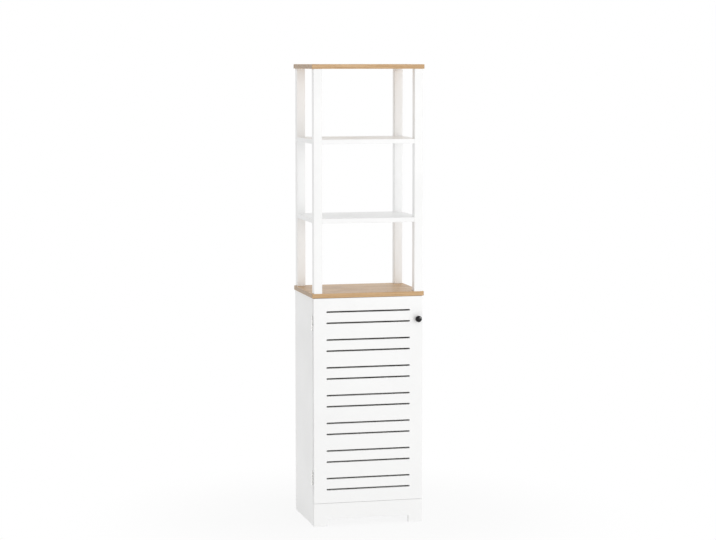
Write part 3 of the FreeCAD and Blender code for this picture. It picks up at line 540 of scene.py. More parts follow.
def slotted_panel_tree() -> bpy.types.NodeTree:
    """Tree that makes a panel with evenly repeated pairs of slots and softened edges everywhere.

    The panel is drawn flat, face up, and then stood up with its face forwards. One rounded rim
    profile runs round the panel's edge and round every slot, and the flat faces fill what the
    rims leave open.

    Returns:
        The tree.
    """
    net = GroupWriter("slotted_panel", "GeometryNodeTree", {
        "Geometry": GEOMETRY, "Width": FLOAT, "Height": FLOAT, "Thickness": FLOAT,
        "Slot Length": FLOAT, "Slot Width": FLOAT, "Slot Spacing": FLOAT, "Pair Pitch": FLOAT,
        "Pairs": INTEGER, "Softness": FLOAT, "Centre": VECTOR, "Finish": MATERIAL,
    }, {"Panel": GEOMETRY})
    given = net.given
    radius = given["Softness"]
    half = net.math("MULTIPLY", given["Thickness"], 0.5)
    straight = net.math("SUBTRACT", half, radius)

    # The rim's profile: a quarter round, the straight side, and a quarter round again.
    index = net.add("GeometryNodeInputIndex").outputs[0]
    lower = net.math("GREATER_THAN", index, ROUNDING_STEPS + 0.5)
    step = net.math("SUBTRACT", index, lower)
    angle = net.math("MULTIPLY_ADD", step, -math.pi / 2 / ROUNDING_STEPS, math.pi / 2)
    inset = net.math("MULTIPLY", net.math("SUBTRACT", net.math("COSINE", angle), 1.0), radius)
    side = net.math("MULTIPLY_ADD", lower, -2.0, 1.0)
    level = net.math("MULTIPLY_ADD", straight, side,
                     net.math("MULTIPLY", net.math("SINE", angle), radius))
    rim_points = net.add("GeometryNodeMeshLine", {"Count": 2 * (ROUNDING_STEPS + 1)})
    rim_placed = net.add("GeometryNodeSetPosition", {
        "Geometry": rim_points.outputs[0], "Position": net.vector(inset, level)})
    rim = net.add("GeometryNodeMeshToCurve", {"Mesh": rim_placed.outputs[0]}).outputs[0]

    def rimmed(width: Any, height: Any, corner: Any, inwards: bool) -> bpy.types.NodeSocket:
        """Rounded rectangle swept with the rim.

        Args:
            width: Its width.
            height: Its height.
            corner: Radius of its corners.
            inwards: Whether the rim's soft side is turned to the middle.

        Returns:
            The swept mesh.
        """
        path = net.add("GeometryNodeCurvePrimitiveQuadrilateral",
                       {"Width": width, "Height": height})
        soft = net.add("GeometryNodeFilletCurve", {"Curve": path.outputs[0], "Radius": corner,
                                                   "Count": SLOT_CORNER_STEPS}, mode="POLY")
        upright = net.add("GeometryNodeSetCurveNormal", {"Curve": soft.outputs[0]},
                          mode="Z_UP").outputs[0]
        if inwards:
            upright = net.add("GeometryNodeReverseCurve", {"Curve": upright}).outputs[0]
        return net.add("GeometryNodeCurveToMesh",
                       {"Curve": upright, "Profile Curve": rim}).outputs[0]

    def repeated(geometry: Any, count: Any, pitch: Any) -> bpy.types.NodeSocket:
        """Copies of a shape in a column about the middle.

        Args:
            geometry: The shape.
            count: Number of copies.
            pitch: Distance from one to the next.

        Returns:
            The copies.
        """
        gaps = net.math("SUBTRACT", count, 1.0)
        lowest = net.math("MULTIPLY", net.math("MULTIPLY", gaps, pitch), -0.5)
        column = net.add("GeometryNodeMeshLine", {
            "Count": count, "Start Location": net.vector(0, lowest),
            "Offset": net.vector(0, pitch)})
        return net.add("GeometryNodeInstanceOnPoints",
                       {"Points": column.outputs[0], "Instance": geometry}).outputs[0]

    edge = rimmed(given["Width"], given["Height"], radius, inwards=False)
    round_end = net.math("MULTIPLY", given["Slot Width"], SLOT_END_ROUND)
    slot = rimmed(given["Slot Length"], given["Slot Width"], round_end, inwards=True)
    slots = repeated(repeated(slot, 2, given["Slot Spacing"]), given["Pairs"], given["Pair Pitch"])
    rims = net.add("GeometryNodeJoinGeometry", {})
    for part in (slots, edge):
        net.tree.links.new(part, rims.inputs[0])
    open_rims = net.add("GeometryNodeRealizeInstances", {"Geometry": rims.outputs[0]})

    # The soft edge attribute is highest in the middle of each quarter round.
    height = net.parts(net.add("GeometryNodeInputPosition").outputs[0])[2]
    depth = net.math("DIVIDE", net.math("SUBTRACT", net.math("ABSOLUTE", height), straight), radius)
    bow = net.math("SINE", net.math("MULTIPLY", net.ramp(depth, 0.0, 1.0), math.pi))
    marked = net.add("GeometryNodeStoreNamedAttribute", {
        "Geometry": open_rims.outputs[0], "Name": SOFT_EDGE, "Value": bow},
        data_type="FLOAT", domain="CORNER")
    smooth = net.add("GeometryNodeSetShadeSmooth", {"Geometry": marked.outputs[0]}).outputs[0]

    # The open edges at the front outline the face, and a lowered copy of it is the back.
    faces = net.add("GeometryNodeInputMeshEdgeNeighbors").outputs[0]
    border = net.math("MULTIPLY", net.math("LESS_THAN", faces, 1.5),
                      net.math("GREATER_THAN", height, 0.0))
    outlines = net.add("GeometryNodeMeshToCurve", {"Mesh": smooth, "Selection": border})
    sheet = net.add("GeometryNodeFillCurve", {"Curve": outlines.outputs[0]},
                    mode="NGONS").outputs[0]
    face = net.add("GeometryNodeTransform", {"Geometry": sheet, "Translation": net.vector(z=half)})
    turned_sheet = net.add("GeometryNodeFlipFaces", {"Mesh": sheet})
    back = net.add("GeometryNodeTransform", {
        "Geometry": turned_sheet.outputs[0],
        "Translation": net.vector(z=net.math("MULTIPLY", half, -1.0))})
    whole = net.add("GeometryNodeJoinGeometry", {})
    for part in (face.outputs[0], back.outputs[0], smooth):
        net.tree.links.new(part, whole.inputs[0])
    closed = net.add("GeometryNodeMergeByDistance",
                     {"Geometry": whole.outputs[0], "Distance": 10 * MERGE_DISTANCE})
    stood = net.add("GeometryNodeTransform", {
        "Geometry": closed.outputs[0], "Translation": given["Centre"],
        "Rotation": (math.pi / 2, 0, 0)})
    dressed = net.add("GeometryNodeSetMaterial",
                      {"Geometry": stood.outputs[0], "Material": given["Finish"]})
    return net.hand_out({"Panel": dressed.outputs[0]})


# Effects that several finishes share ---------------------------------------------------------

class Effect(Enum):
    """The shared effects, by the names of their groups."""

    CLOUDS_AND_GRAIN = "clouds_and_grain"
    EDGE_WEAR = "edge_wear"
    WOOD_FIGURE = "wood_figure"


@dataclass(frozen=True)
class Noise:
    """A noise: how far it is broken up, and the levels of it that become 0 and 1."""

    detail: float
    low: float = 0.0
    high: float = 1.0
    roughness: float = 0.5

    def read(self, net: NodeWriter, place: Any, scale: Any = 1.0) -> bpy.types.NodeSocket:
        """Adds the noise to a tree.

        Args:
            net: Writer of the tree.
            place: Where the noise is read.
            scale: How fine it is.

        Returns:
            The plain noise.
        """
        node = net.add("ShaderNodeTexNoise", {"Vector": place, "Scale": scale,
                                              "Detail": self.detail, "Roughness": self.roughness})
        return node.outputs[0]

    def mask(self, net: NodeWriter, place: Any, scale: Any = 1.0) -> bpy.types.NodeSocket:
        """The noise from its low level, as 0, to its high one, as 1."""
        return net.ramp(self.read(net, place, scale), self.low, self.high)


BROAD_CLOUDS = Noise(detail=4.0, low=0.3, high=0.7, roughness=0.55)
FINE_GRAIN = Noise(detail=3.0, low=0.25, high=0.75, roughness=0.6)
WEAR_PATCHES = Noise(detail=5.0, low=0.35, high=0.65)
WEAR_SCALE = 28.0

RING_WAVER = Noise(detail=3.0)
RING_WAVER_STRETCH = (2.2, 9.0, 9.0)
RING_WAVER_WIDTH = 0.05
RING_LEVELS = (-0.6, 1.0)
WOOD_FIBRES = Noise(detail=4.0, low=0.3, high=0.7)
FIBRE_STRETCH = (7.0, 300.0, 300.0)
WOOD_PORES = Noise(detail=1.0, low=0.62, high=0.72)
PORE_STRETCH = (45.0, 1500.0, 1500.0)
END_GRAIN_LEVELS = (0.5, 0.95)


def clouds_group() -> bpy.types.NodeTree:
    """Broad clouds and fine grain over a surface, each from 0 to 1.

    Returns:
        The group.
    """
    net = GroupWriter(Effect.CLOUDS_AND_GRAIN.value, "ShaderNodeTree",
                      {"Broad Scale": FLOAT, "Fine Scale": FLOAT, "Stretch": VECTOR},
                      {"Clouds": FLOAT, "Grain": FLOAT})
    place = net.add("ShaderNodeTexCoord").outputs["Object"]
    drawn = net.vector_math("MULTIPLY", place, net.given["Stretch"])
    return net.hand_out({"Clouds": BROAD_CLOUDS.mask(net, place, net.given["Broad Scale"]),
                         "Grain": FINE_GRAIN.mask(net, drawn, net.given["Fine Scale"])})


def edge_wear_group() -> bpy.types.NodeTree:
    """Colour that turns to a worn one along the softened edges, unevenly.

    Returns:
        The group.
    """
    net = GroupWriter(Effect.EDGE_WEAR.value, "ShaderNodeTree",
                      {"Colour": COLOUR, "Worn Colour": COLOUR, "Amount": FLOAT},
                      {"Colour": COLOUR})
    place = net.add("ShaderNodeTexCoord").outputs["Object"]
    edge = net.add("ShaderNodeAttribute", attribute_name=SOFT_EDGE).outputs["Fac"]
    uneven = WEAR_PATCHES.mask(net, place, WEAR_SCALE)
    wear = net.math("MULTIPLY", net.math("MULTIPLY", edge, uneven), net.given["Amount"])
    return net.hand_out({"Colour": net.mix(wear, net.given["Colour"], net.given["Worn Colour"])})


def wood_figure_group() -> bpy.types.NodeTree:
    """Growth rings, fibres and pores of wood that grew along X, and a mask of its end grain.

    Returns:
        The group.
    """
    net = GroupWriter(Effect.WOOD_FIGURE.value, "ShaderNodeTree",
                      {"Heart": VECTOR, "Ring Pitch": FLOAT},
                      {"Rings": FLOAT, "Fibres": FLOAT, "Pores": FLOAT, "End": FLOAT})
    coordinates = net.add("ShaderNodeTexCoord").outputs
    place = coordinates["Object"]

    def drawn(stretch: Triple) -> bpy.types.NodeSocket:
        """Place in which a noise is drawn out along the grain."""
        return net.vector_math("MULTIPLY", place, stretch)

    axes = net.parts(net.vector_math("SUBTRACT", place, net.given["Heart"]))
    square = net.math("ADD", net.math("POWER", axes[1], 2.0), net.math("POWER", axes[2], 2.0))
    bent = net.math("MULTIPLY_ADD", RING_WAVER.read(net, drawn(RING_WAVER_STRETCH)),
                    RING_WAVER_WIDTH, net.math("SQRT", square))
    turn = net.math("DIVIDE", bent, net.given["Ring Pitch"])
    wave = net.math("SINE", net.math("MULTIPLY", turn, math.tau))
    facing = net.math("ABSOLUTE", net.parts(coordinates["Normal"])[0])
    return net.hand_out({"Rings": net.ramp(wave, *RING_LEVELS),
                         "Fibres": WOOD_FIBRES.mask(net, drawn(FIBRE_STRETCH)),
                         "Pores": WOOD_PORES.mask(net, drawn(PORE_STRETCH)),
                         "End": net.ramp(facing, *END_GRAIN_LEVELS)})


SHARED_EFFECTS = {Effect.CLOUDS_AND_GRAIN: clouds_group, Effect.EDGE_WEAR: edge_wear_group,
                  Effect.WOOD_FIGURE: wood_figure_group}


def place_effect(net: NodeWriter, effect: Effect, inputs: dict[str, Any]) -> Any:
    """Places a shared effect in a material, made on its first use.

    Args:
        net: Writer of the material's tree.
        effect: The effect.
        inputs: The effect's inputs, by name.

    Returns:
        The effect's outputs.
    """
    tree = bpy.data.node_groups.get(effect.value) or SHARED_EFFECTS[effect]()
    return net.add("ShaderNodeGroup", inputs, node_tree=tree).outputs


# Finishes ----------------------------------------------------------------------------------

@dataclass(frozen=True)
class Figure:
    """Sockets of what a finish paints: its colour, where it is rougher, and its relief."""

    colour: Any
    rough: Any
    height: Any


@dataclass(frozen=True)
class Finish:
    """A surface finish of one of the record's material slots.

    Colours are linear. Light and dark are mixed by clouds and grain, each by its share, and the
    softened edges turn to the worn colour. Roughness runs between its two values over the same
    pattern, and relief is the depth of the grain in metres.
    """

    name: str
    slot: str
    light: Colour
    dark: Colour
    worn: Colour
    roughness: Pair
    relief: float
    wear: float = 0.5
    metallic: float = 0.0
    specular: float = 0.5
    coat: float = 0.0
    coat_roughness: float = 0.1
    broad_scale: float = 6.0
    fine_scale: float = 600.0
    stretch: Triple = (1.0, 1.0, 1.0)
    cloud_share: float = 0.7
    grain_share: float = 0.3

    def figure(self, net: NodeWriter) -> Figure:
        """Clouded colour with a fine grain.

        Args:
            net: Writer of the material's tree.

        Returns:
            What the finish paints.
        """
        pattern = place_effect(net, Effect.CLOUDS_AND_GRAIN, {
            "Broad Scale": self.broad_scale, "Stretch": self.stretch,
            "Fine Scale": self.fine_scale})
        clouds = net.math("MULTIPLY", pattern["Clouds"], self.cloud_share)
        mask = net.math("MULTIPLY_ADD", pattern["Grain"], self.grain_share, clouds)
        return Figure(net.mix(mask, self.light, self.dark), mask, pattern["Grain"])

    def material(self) -> bpy.types.Material:
        """The finish's material, made on its first use.

        Returns:
            The material.
        """
        known = bpy.data.materials.get(self.name)
        if known:
            return known
        made = bpy.data.materials.new(self.name)
        made.use_nodes = True
        made.node_tree.nodes.clear()
        made.diffuse_color = (*self.light, 1.0)
        net = NodeWriter(made.node_tree)
        figure = self.figure(net)
        edges = place_effect(net, Effect.EDGE_WEAR, {
            "Colour": figure.colour, "Worn Colour": (*self.worn, 1.0), "Amount": self.wear})
        bump = net.add("ShaderNodeBump", {"Height": figure.height, "Strength": 1.0,
                                          "Distance": self.relief})
        shader = net.add("ShaderNodeBsdfPrincipled", {
            "Base Color": edges["Colour"],
            "Roughness": net.ramp(figure.rough, 0.0, 1.0, *self.roughness),
            "Metallic": self.metallic, "Specular IOR Level": self.specular,
            "Coat Weight": self.coat, "Coat Roughness": self.coat_roughness,
            "Normal": bump.outputs[0]})
        net.add("ShaderNodeOutputMaterial", {"Surface": shader.outputs[0]})
        return made


@dataclass(frozen=True)
class WoodFinish(Finish):
    """Wood with its grain along X: rings, fibres, open pores and darker end grain.

    The heart is a point on the line that the growth rings run round.
    """

    end: Colour = (0.3, 0.19, 0.1)
    pore: Colour = (0.2, 0.11, 0.05)
    heart: Triple = (0.0, 0.05, -0.2)
    ring_pitch: float = 0.009
    ring_share: float = 0.5
    fibre_share: float = 0.5
    pore_strength: float = 0.45
    end_strength: float = 0.75

    def figure(self, net: NodeWriter) -> Figure:
        """Rings and fibres between the two tones, pores and end grain over them.

        Args:
            net: Writer of the material's tree.

        Returns:
            What the finish paints.
        """
        wood = place_effect(net, Effect.WOOD_FIGURE, {"Heart": self.heart,
                                                      "Ring Pitch": self.ring_pitch})
        fibres = net.math("MULTIPLY", wood["Fibres"], self.fibre_share)
        tone = net.math("MULTIPLY_ADD", wood["Rings"], self.ring_share, fibres)
        grain = net.mix(tone, self.light, self.dark)
        pores = net.math("MULTIPLY", wood["Pores"], self.pore_strength)
        pored = net.mix(pores, grain, self.pore)
        end = net.math("MULTIPLY", wood["End"], self.end_strength)
        ended = net.mix(end, pored, self.end)
        height = net.math("SUBTRACT", wood["Fibres"], wood["Pores"])
        return Figure(ended, wood["Fibres"], height)


WHITE_LACQUER = Finish(
    "white_lacquer", "white_panel", light=(0.93, 0.93, 0.925), dark=(0.905, 0.905, 0.9),
    worn=(0.86, 0.85, 0.83), roughness=(0.3, 0.42), relief=0.00002, broad_scale=5.0,
    fine_scale=700.0)
HONEY_WOOD = WoodFinish(
    "honey_wood", "natural_wood", light=(0.615, 0.392, 0.185), dark=(0.45, 0.258, 0.104),
    worn=(0.7, 0.5, 0.29), roughness=(0.34, 0.52), relief=0.00006, wear=0.6, coat=0.2,
    coat_roughness=0.25)
WHITE_HARDBOARD = Finish(
    "white_faced_hardboard", "hardboard", light=(0.88, 0.88, 0.87), dark=(0.83, 0.83, 0.815),
    worn=(0.42, 0.3, 0.2), roughness=(0.45, 0.6), relief=0.00005, wear=0.9, broad_scale=9.0,
    fine_scale=420.0, stretch=(1.0, 1.0, 0.35))
BARE_BEECH = WoodFinish(
    "bare_beech", "dowel_wood", light=(0.74, 0.56, 0.38), dark=(0.6, 0.42, 0.26),
    worn=(0.7, 0.54, 0.36), roughness=(0.55, 0.7), relief=0.00004, ring_pitch=0.0015)
GLOSS_BLACK = Finish(
    "gloss_black", "black_knob", light=(0.003, 0.003, 0.0032), dark=(0.007, 0.007, 0.0075),
    worn=(0.04, 0.04, 0.04), roughness=(0.12, 0.22), relief=0.000004, wear=0.4, specular=0.2,
    broad_scale=60.0, fine_scale=900.0)
BRIGHT_NICKEL = Finish(
    "bright_nickel", "hinge_steel", light=(0.93, 0.925, 0.915), dark=(0.82, 0.815, 0.8),
    worn=(0.95, 0.945, 0.935), roughness=(0.2, 0.36), relief=0.000008, metallic=1.0,
    broad_scale=70.0, fine_scale=500.0, stretch=(1.0, 1.0, 0.08))
BRIGHT_ZINC = Finish(
    "bright_zinc", "zinc_steel", light=(0.66, 0.67, 0.69), dark=(0.52, 0.53, 0.52),
    worn=(0.78, 0.78, 0.78), roughness=(0.26, 0.44), relief=0.000008, metallic=1.0,
    broad_scale=90.0, fine_scale=800.0)
CAST_ZINC = Finish(
    "cast_zinc", "cast_zinc", light=(0.6, 0.6, 0.61), dark=(0.46, 0.46, 0.47),
    worn=(0.72, 0.72, 0.72), roughness=(0.42, 0.6), relief=0.00003, metallic=1.0,
    broad_scale=120.0, fine_scale=1400.0)
WHITE_PLASTIC = Finish(
    "white_plastic", "white_plastic", light=(0.86, 0.86, 0.85), dark=(0.8, 0.8, 0.785),
    worn=(0.9, 0.9, 0.89), roughness=(0.4, 0.55), relief=0.00002, broad_scale=40.0,
    fine_scale=1200.0)
FERRITE = Finish(
    "dark_ferrite", "magnet", light=(0.075, 0.075, 0.078), dark=(0.04, 0.04, 0.042),
    worn=(0.12, 0.12, 0.12), roughness=(0.5, 0.75), relief=0.00003, broad_scale=150.0,
    fine_scale=1500.0)


def dress(piece: bpy.types.Object, body: Body, finish: Finish, *nodes: str) -> None:
    """Gives a finished piece its material and body.

    Args:
        piece: The piece, in place.
        body: Body that it rides on.
        finish: Its finish.
        *nodes: Nodes of the construction that it stands for.
    """
    piece.data.materials.clear()
    piece.data.materials.append(finish.material())
    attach(piece, body.value)
    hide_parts(*nodes)
    LOG.info("%s: %d faces, stands for %s", piece.name, len(piece.data.polygons),
             ", ".join(nodes))


def dress_nodes(finish: Finish, *nodes: str) -> None:
    """Gives nodes of the construction that stay as they are a finish.

    Args:
        finish: The finish.
        *nodes: The nodes.
    """
    for node in nodes:
        for slot in frame["nodes"][node].material_slots:
            slot.material = finish.material()
        LOG.info("%s: keeps its own shape, in %s", node, finish.name)


# Fittings that are set down in many places ---------------------------------------------------

RECESS_LENGTH_TO_WIDTH = 5
RECESS_LENGTH_TO_DEPTH = 3
RECESS_WIDTH_TO_ROUND = 6
HEAD_TOP_TO_FOOT_ROUND = 3


class Way(Enum):
    """The way that a fitting is driven in."""

    RIGHT = (1, 0, 0)
    LEFT = (-1, 0, 0)
    REARWARD = (0, 1, 0)
    FORWARD = (0, -1, 0)
    UP = (0, 0, 1)
    DOWN = (0, 0, -1)

    @property
    def vector(self) -> Vector:
        """Unit vector of the way."""
        return Vector(self.value)

    @property
    def side(self) -> int:
        """Number of the axis that the way lies along."""
        return [abs(part) for part in self.value].index(1)

    @property
    def turn(self) -> Matrix:
        """Rotation that takes local +Z to the way."""
        return Vector((0, 0, 1)).rotation_difference(self.vector).to_matrix().to_4x4()

    def start(self, extent: Extent) -> Vector:
        """Point on an extent's middle line where something driven this way starts.

        Args:
            extent: The extent.

        Returns:
            The point.
        """
        point = extent.centre.copy()
        point[self.side] = (extent.low if sum(self.value) > 0 else extent.high)[self.side]
        return point


@dataclass(frozen=True)
class Place:
    """Where one fitting is set down, and the way it is driven."""

    point: Vector
    way: Way


def places_of(node: str, way: Way, head: float = 0.0) -> list[Place]:
    """Places of the separate solids of a node that are all driven one way.

    Args:
        node: Name of the node.
        way: Way that its fittings are driven.
        head: Height of the part that stays outside.

    Returns:
        One place for each solid.
    """
    return [Place(way.start(solid) + way.vector * head, way) for solid in solids_of(node)]


def set_down(name: str, places: Sequence[Place], fitting: bpy.types.Object, finish: Finish,
             body: Body, *nodes: str) -> None:
    """Sets copies of one fitting down at its places, as one piece, and removes the single one.

    Args:
        name: Name of the piece.
        places: Where the copies go.
        fitting: The fitting, driven along local +Z from the origin.
        finish: Its finish.
        body: Body that the copies ride on.
        *nodes: Nodes of the construction that they stand for.
    """
    mesh = bpy.data.meshes.new(name)
    mesh.from_pydata([place.point for place in places], [], [])
    turns = mesh.attributes.new(TURN, "FLOAT_VECTOR", "POINT")
    for item, place in zip(turns.data, places):
        item.vector = place.way.turn.to_euler()
    piece = bpy.data.objects.new(name, mesh)
    bpy.context.scene.collection.objects.link(piece)
    tree = bpy.data.node_groups.get(COPIES) or copies_tree()
    run_tree(piece, tree, {"Fitting": fitting, "Finish": finish.material()})
    bpy.data.objects.remove(fitting)
    dress(piece, body, finish, *nodes)


def cutters_at(places: Sequence[Place], profile: Sequence[Pair],
               steps: int) -> list[bpy.types.Object]:
    """Turned cutters, one driven in at each place.

    Args:
        places: The places.
        profile: Pairs of radius and height, from one end on the axis to the other.
        steps: Number of faces round the axis.

    Returns:
        The cutters.
    """
    cutters = []
    for place in places:
        cutter = turned("cutter", profile, steps)
        cutter.data.transform(Matrix.Translation(place.point) @ place.way.turn)
        cutters.append(cutter)
    return cutters


def cross_cut(fitting: bpy.types.Object, length: float, width: float, depth: float) -> None:
    """Cuts a cross recess into the face that lies at the fitting's origin.

    Args:
        fitting: The fitting.
        length: Length of the cross.
        width: Width of its bars.
        depth: Depth of the recess.
    """
    softness = width / RECESS_WIDTH_TO_ROUND
    for across, up in ((length, width), (width, length)):
        outline = rectangle(-across / 2, -up / 2, across / 2, up / 2)
        carve(fitting, [prism("bar", outline, Axis.Z, -depth, depth, softness)])


def box_cutter(low: Sequence[float], high: Sequence[float]) -> bpy.types.Object:
    """Sharp box to carve with.

    Args:
        low: Its lowest corner.
        high: Its highest corner.

    Returns:
        The box.
    """
    bm = new_mesh()
    bmesh.ops.create_cube(bm, size=1.0)
    low, high = Vector(low), Vector(high)
    bm.transform(Matrix.Translation((low + high) / 2) @ Matrix.Diagonal((*(high - low), 1.0)))
    return as_piece("box_cutter", bm)


@dataclass(frozen=True)
class LeafSeats:
    """Shallow seats that the hinge leaves lie in."""

    depth: float = 0.0013
    play: float = 0.0002

    def cutters(self, node: str, side: int) -> list[bpy.types.Object]:
        """Sharp boxes, one for each leaf of a node.

        Args:
            node: Node of the leaves.
            side: 1 where the seats lie behind the pins' plane, -1 where in front of it.

        Returns:
            The cutters.
        """
        near, far = sorted((HINGE_Y, HINGE_Y + side * self.depth))
        return [box_cutter((leaf.low.x, near, leaf.low.z - self.play),
                           (leaf.high.x + self.play, far, leaf.high.z + self.play))
                for leaf in solids_of(node)]


@dataclass(frozen=True)
class CamLocks:
    """Round cams that lock the flat pieces together, and the bores that they sit in.

    Each has a cross recess in its face, and an arrow marked at its rim.
    """

    radius: float = 0.0074
    bore_radius: float = 0.0075
    rim_round: float = 0.0004
    recess_length: float = 0.0088
    recess_width: float = 0.0018
    recess_depth: float = 0.0022
    mark_size: float = 0.0022
    mark_depth: float = 0.00055
    mark_round: float = 0.00011
    round_steps: int = 40

    @property
    def depth(self) -> float:
        """Depth of a cam, which is less than its width."""
        return min(min(cam.size) for cam in solids_of("cam_locks"))

    def places_in(self, extent: Extent) -> list[Place]:
        """Places of the cams in one piece, each at the piece's face and driven inwards.

        Args:
            extent: Extent of the piece.

        Returns:
            The places.
        """
        places = []
        for cam in solids_of("cam_locks"):
            if not extent.holds(cam.centre):
                continue
            side = min(range(3), key=lambda number: cam.size[number])
            above, below = extent.high[side] - cam.high[side], cam.low[side] - extent.low[side]
            inwards = [0, 0, 0]
            inwards[side] = -1 if abs(above) < abs(below) else 1
            way = Way(tuple(inwards))
            places.append(Place(way.start(cam), way))
        return places

    def bore(self, piece: bpy.types.Object, extent: Extent) -> None:
        """Cuts the bores of the cams that sit in a piece.

        Args:
            piece: The piece.
            extent: Its extent.
        """
        depth, radius = self.depth, self.bore_radius
        profile = [(0, -depth), (radius, -depth), (radius, depth), (0, depth)]
        carve(piece, cutters_at(self.places_in(extent), profile, self.round_steps))

    def build(self, extents: Sequence[Extent]) -> None:
        """Sets all the cams down.

        Args:
            extents: Extents of the pieces that the cams sit in.
        """
        depth, radius = self.depth, self.radius
        profile = rounded_line([(0, 0), (radius, 0), (radius, depth), (0, depth)],
                               [self.rim_round] * 2)
        cam = turned("cam", profile, self.round_steps)
        cross_cut(cam, self.recess_length, self.recess_width, self.recess_depth)
        reach, half = radius - self.rim_round, self.mark_size / 2
        arrow = [(reach - self.mark_size, -half), (reach, 0), (reach - self.mark_size, half)]
        carve(cam, [prism("arrow", arrow, Axis.Z, -self.mark_depth, self.mark_depth,
                          self.mark_round)])
        places = [place for extent in extents for place in self.places_in(extent)]
        set_down("cam_locks_set", places, cam, CAST_ZINC, Body.CABINET, "cam_locks")


CAMS = CamLocks()
LEAF_SEATS = LeafSeats()


# Sub-assemblies ------------------------------------------------------------------------------

@dataclass
class WoodenBoards:
    """The wooden boards: one on the closed base, one on the posts."""

    edge_round: float = 0.0015

    def build(self) -> None:
        """Builds and dresses both boards."""
        for node, name in (("top_board", "wooden_top"), ("cabinet_top_board", "wooden_low_board")):
            dress(slab(name, Extent.of(node), self.edge_round), Body.CABINET, HONEY_WOOD, node)


@dataclass
class OpenFrame:
    """Four square posts and the two shelves that are notched round them."""

    post_round: float = 0.001
    shelf_round: float = 0.0008

    def build(self) -> list[Extent]:
        """Builds and dresses the posts and shelves.

        Returns:
            Their extents.
        """
        posts = {f"post_{end}_{side}": Extent.of(f"post_{end}_{side}")
                 for end in ("front", "rear") for side in ("left", "right")}
        for node, extent in posts.items():
            post = slab(f"square_{node}", extent, self.post_round)
            CAMS.bore(post, extent)
            dress(post, Body.CABINET, WHITE_LACQUER, node)
        front, rear = posts["post_front_right"], posts["post_rear_right"]
        right_side = [(front.low.x, front.low.y), (front.low.x, front.high.y),
                      (front.high.x, front.high.y), (rear.high.x, rear.low.y),
                      (rear.low.x, rear.low.y), (rear.low.x, rear.high.y)]
        outline = right_side + [(-across, up) for across, up in reversed(right_side)]
        shelves = {node: Extent.of(node) for node in ("lower_open_shelf", "upper_open_shelf")}
        for node, extent in shelves.items():
            shelf = prism(f"notched_{node}", outline, Axis.Z, extent.low.z, extent.high.z,
                          self.shelf_round)
            CAMS.bore(shelf, extent)
            dress(shelf, Body.CABINET, WHITE_LACQUER, node)
        return [*posts.values(), *shelves.values()]


@dataclass
class Carcass:
    """Closed base: side panels, bottom and back, inner shelf and the plinth on its two feet."""

    edge_round: float = 0.0008
    plinth_round: float = 0.0004
    back_round: float = 0.0003
    groove_depth: float = 0.006
    groove_play: float = 0.0001
    foot_width: float = 0.05
    cutout_height: float = 0.025

    def build(self) -> list[Extent]:
        """Builds and dresses every panel.

        Returns:
            The extents of the panels that hold cams.
        """
        extents = {node: Extent.of(node)
                   for node in ("side_panel_left", "side_panel_right", "bottom_panel")}
        for side, sign in (("left", -1), ("right", 1)):
            self._side_panel(side, sign, extents[f"side_panel_{side}"])
        bottom = slab("base_floor", extents["bottom_panel"], self.edge_round)
        CAMS.bore(bottom, extents["bottom_panel"])
        dress(bottom, Body.CABINET, WHITE_LACQUER, "bottom_panel")
        shelf = slab("loose_shelf", Extent.of("inner_shelf"), self.edge_round)
        dress(shelf, Body.CABINET, WHITE_LACQUER, "inner_shelf")
        back = slab("back_sheet", Extent.of("back_panel"), self.back_round)
        dress(back, Body.CABINET, WHITE_HARDBOARD, "back_panel")
        self._plinth()
        return list(extents.values())

    def _side_panel(self, side: str, sign: int, extent: Extent) -> None:
        """Side panel with the groove of the back sheet and, on the left, the hinges' seats.

        Args:
            side: Word for its side.
            sign: -1 for the left side and 1 for the right one.
            extent: Its extent.
        """
        outer, inner = ((extent.low.x, extent.high.x) if sign < 0
                        else (extent.high.x, extent.low.x))
        back = Extent.of("back_panel")
        groove = inner + sign * self.groove_depth
        near, far = back.low.y - self.groove_play, back.high.y + self.groove_play
        outline = [(outer, extent.low.y), (inner, extent.low.y), (inner, near), (groove, near),
                   (groove, far), (inner, far), (inner, extent.high.y), (outer, extent.high.y)]
        panel = prism(f"side_{side}", outline, Axis.Z, extent.low.z, extent.high.z,
                      self.edge_round)
        CAMS.bore(panel, extent)
        if sign < 0:
            carve(panel, LEAF_SEATS.cutters("hinge_frame_leaves", 1))
        dress(panel, Body.CABINET, WHITE_LACQUER, f"side_panel_{side}")

    def _plinth(self) -> None:
        """Plinth that stands on two feet beside its low cut-out."""
        extent = Extent.of("front_plinth")
        right, inside = extent.high.x, extent.high.x - self.foot_width
        bottom, top = extent.low.z, extent.high.z
        outline = [(-right, bottom), (-inside, bottom), (-inside, self.cutout_height),
                   (inside, self.cutout_height), (inside, bottom), (right, bottom),
                   (right, top), (-right, top)]
        plinth = prism("footed_plinth", outline, Axis.Y, extent.low.y, extent.high.y,
                       self.plinth_round)
        dress(plinth, Body.CABINET, WHITE_LACQUER, "front_plinth")


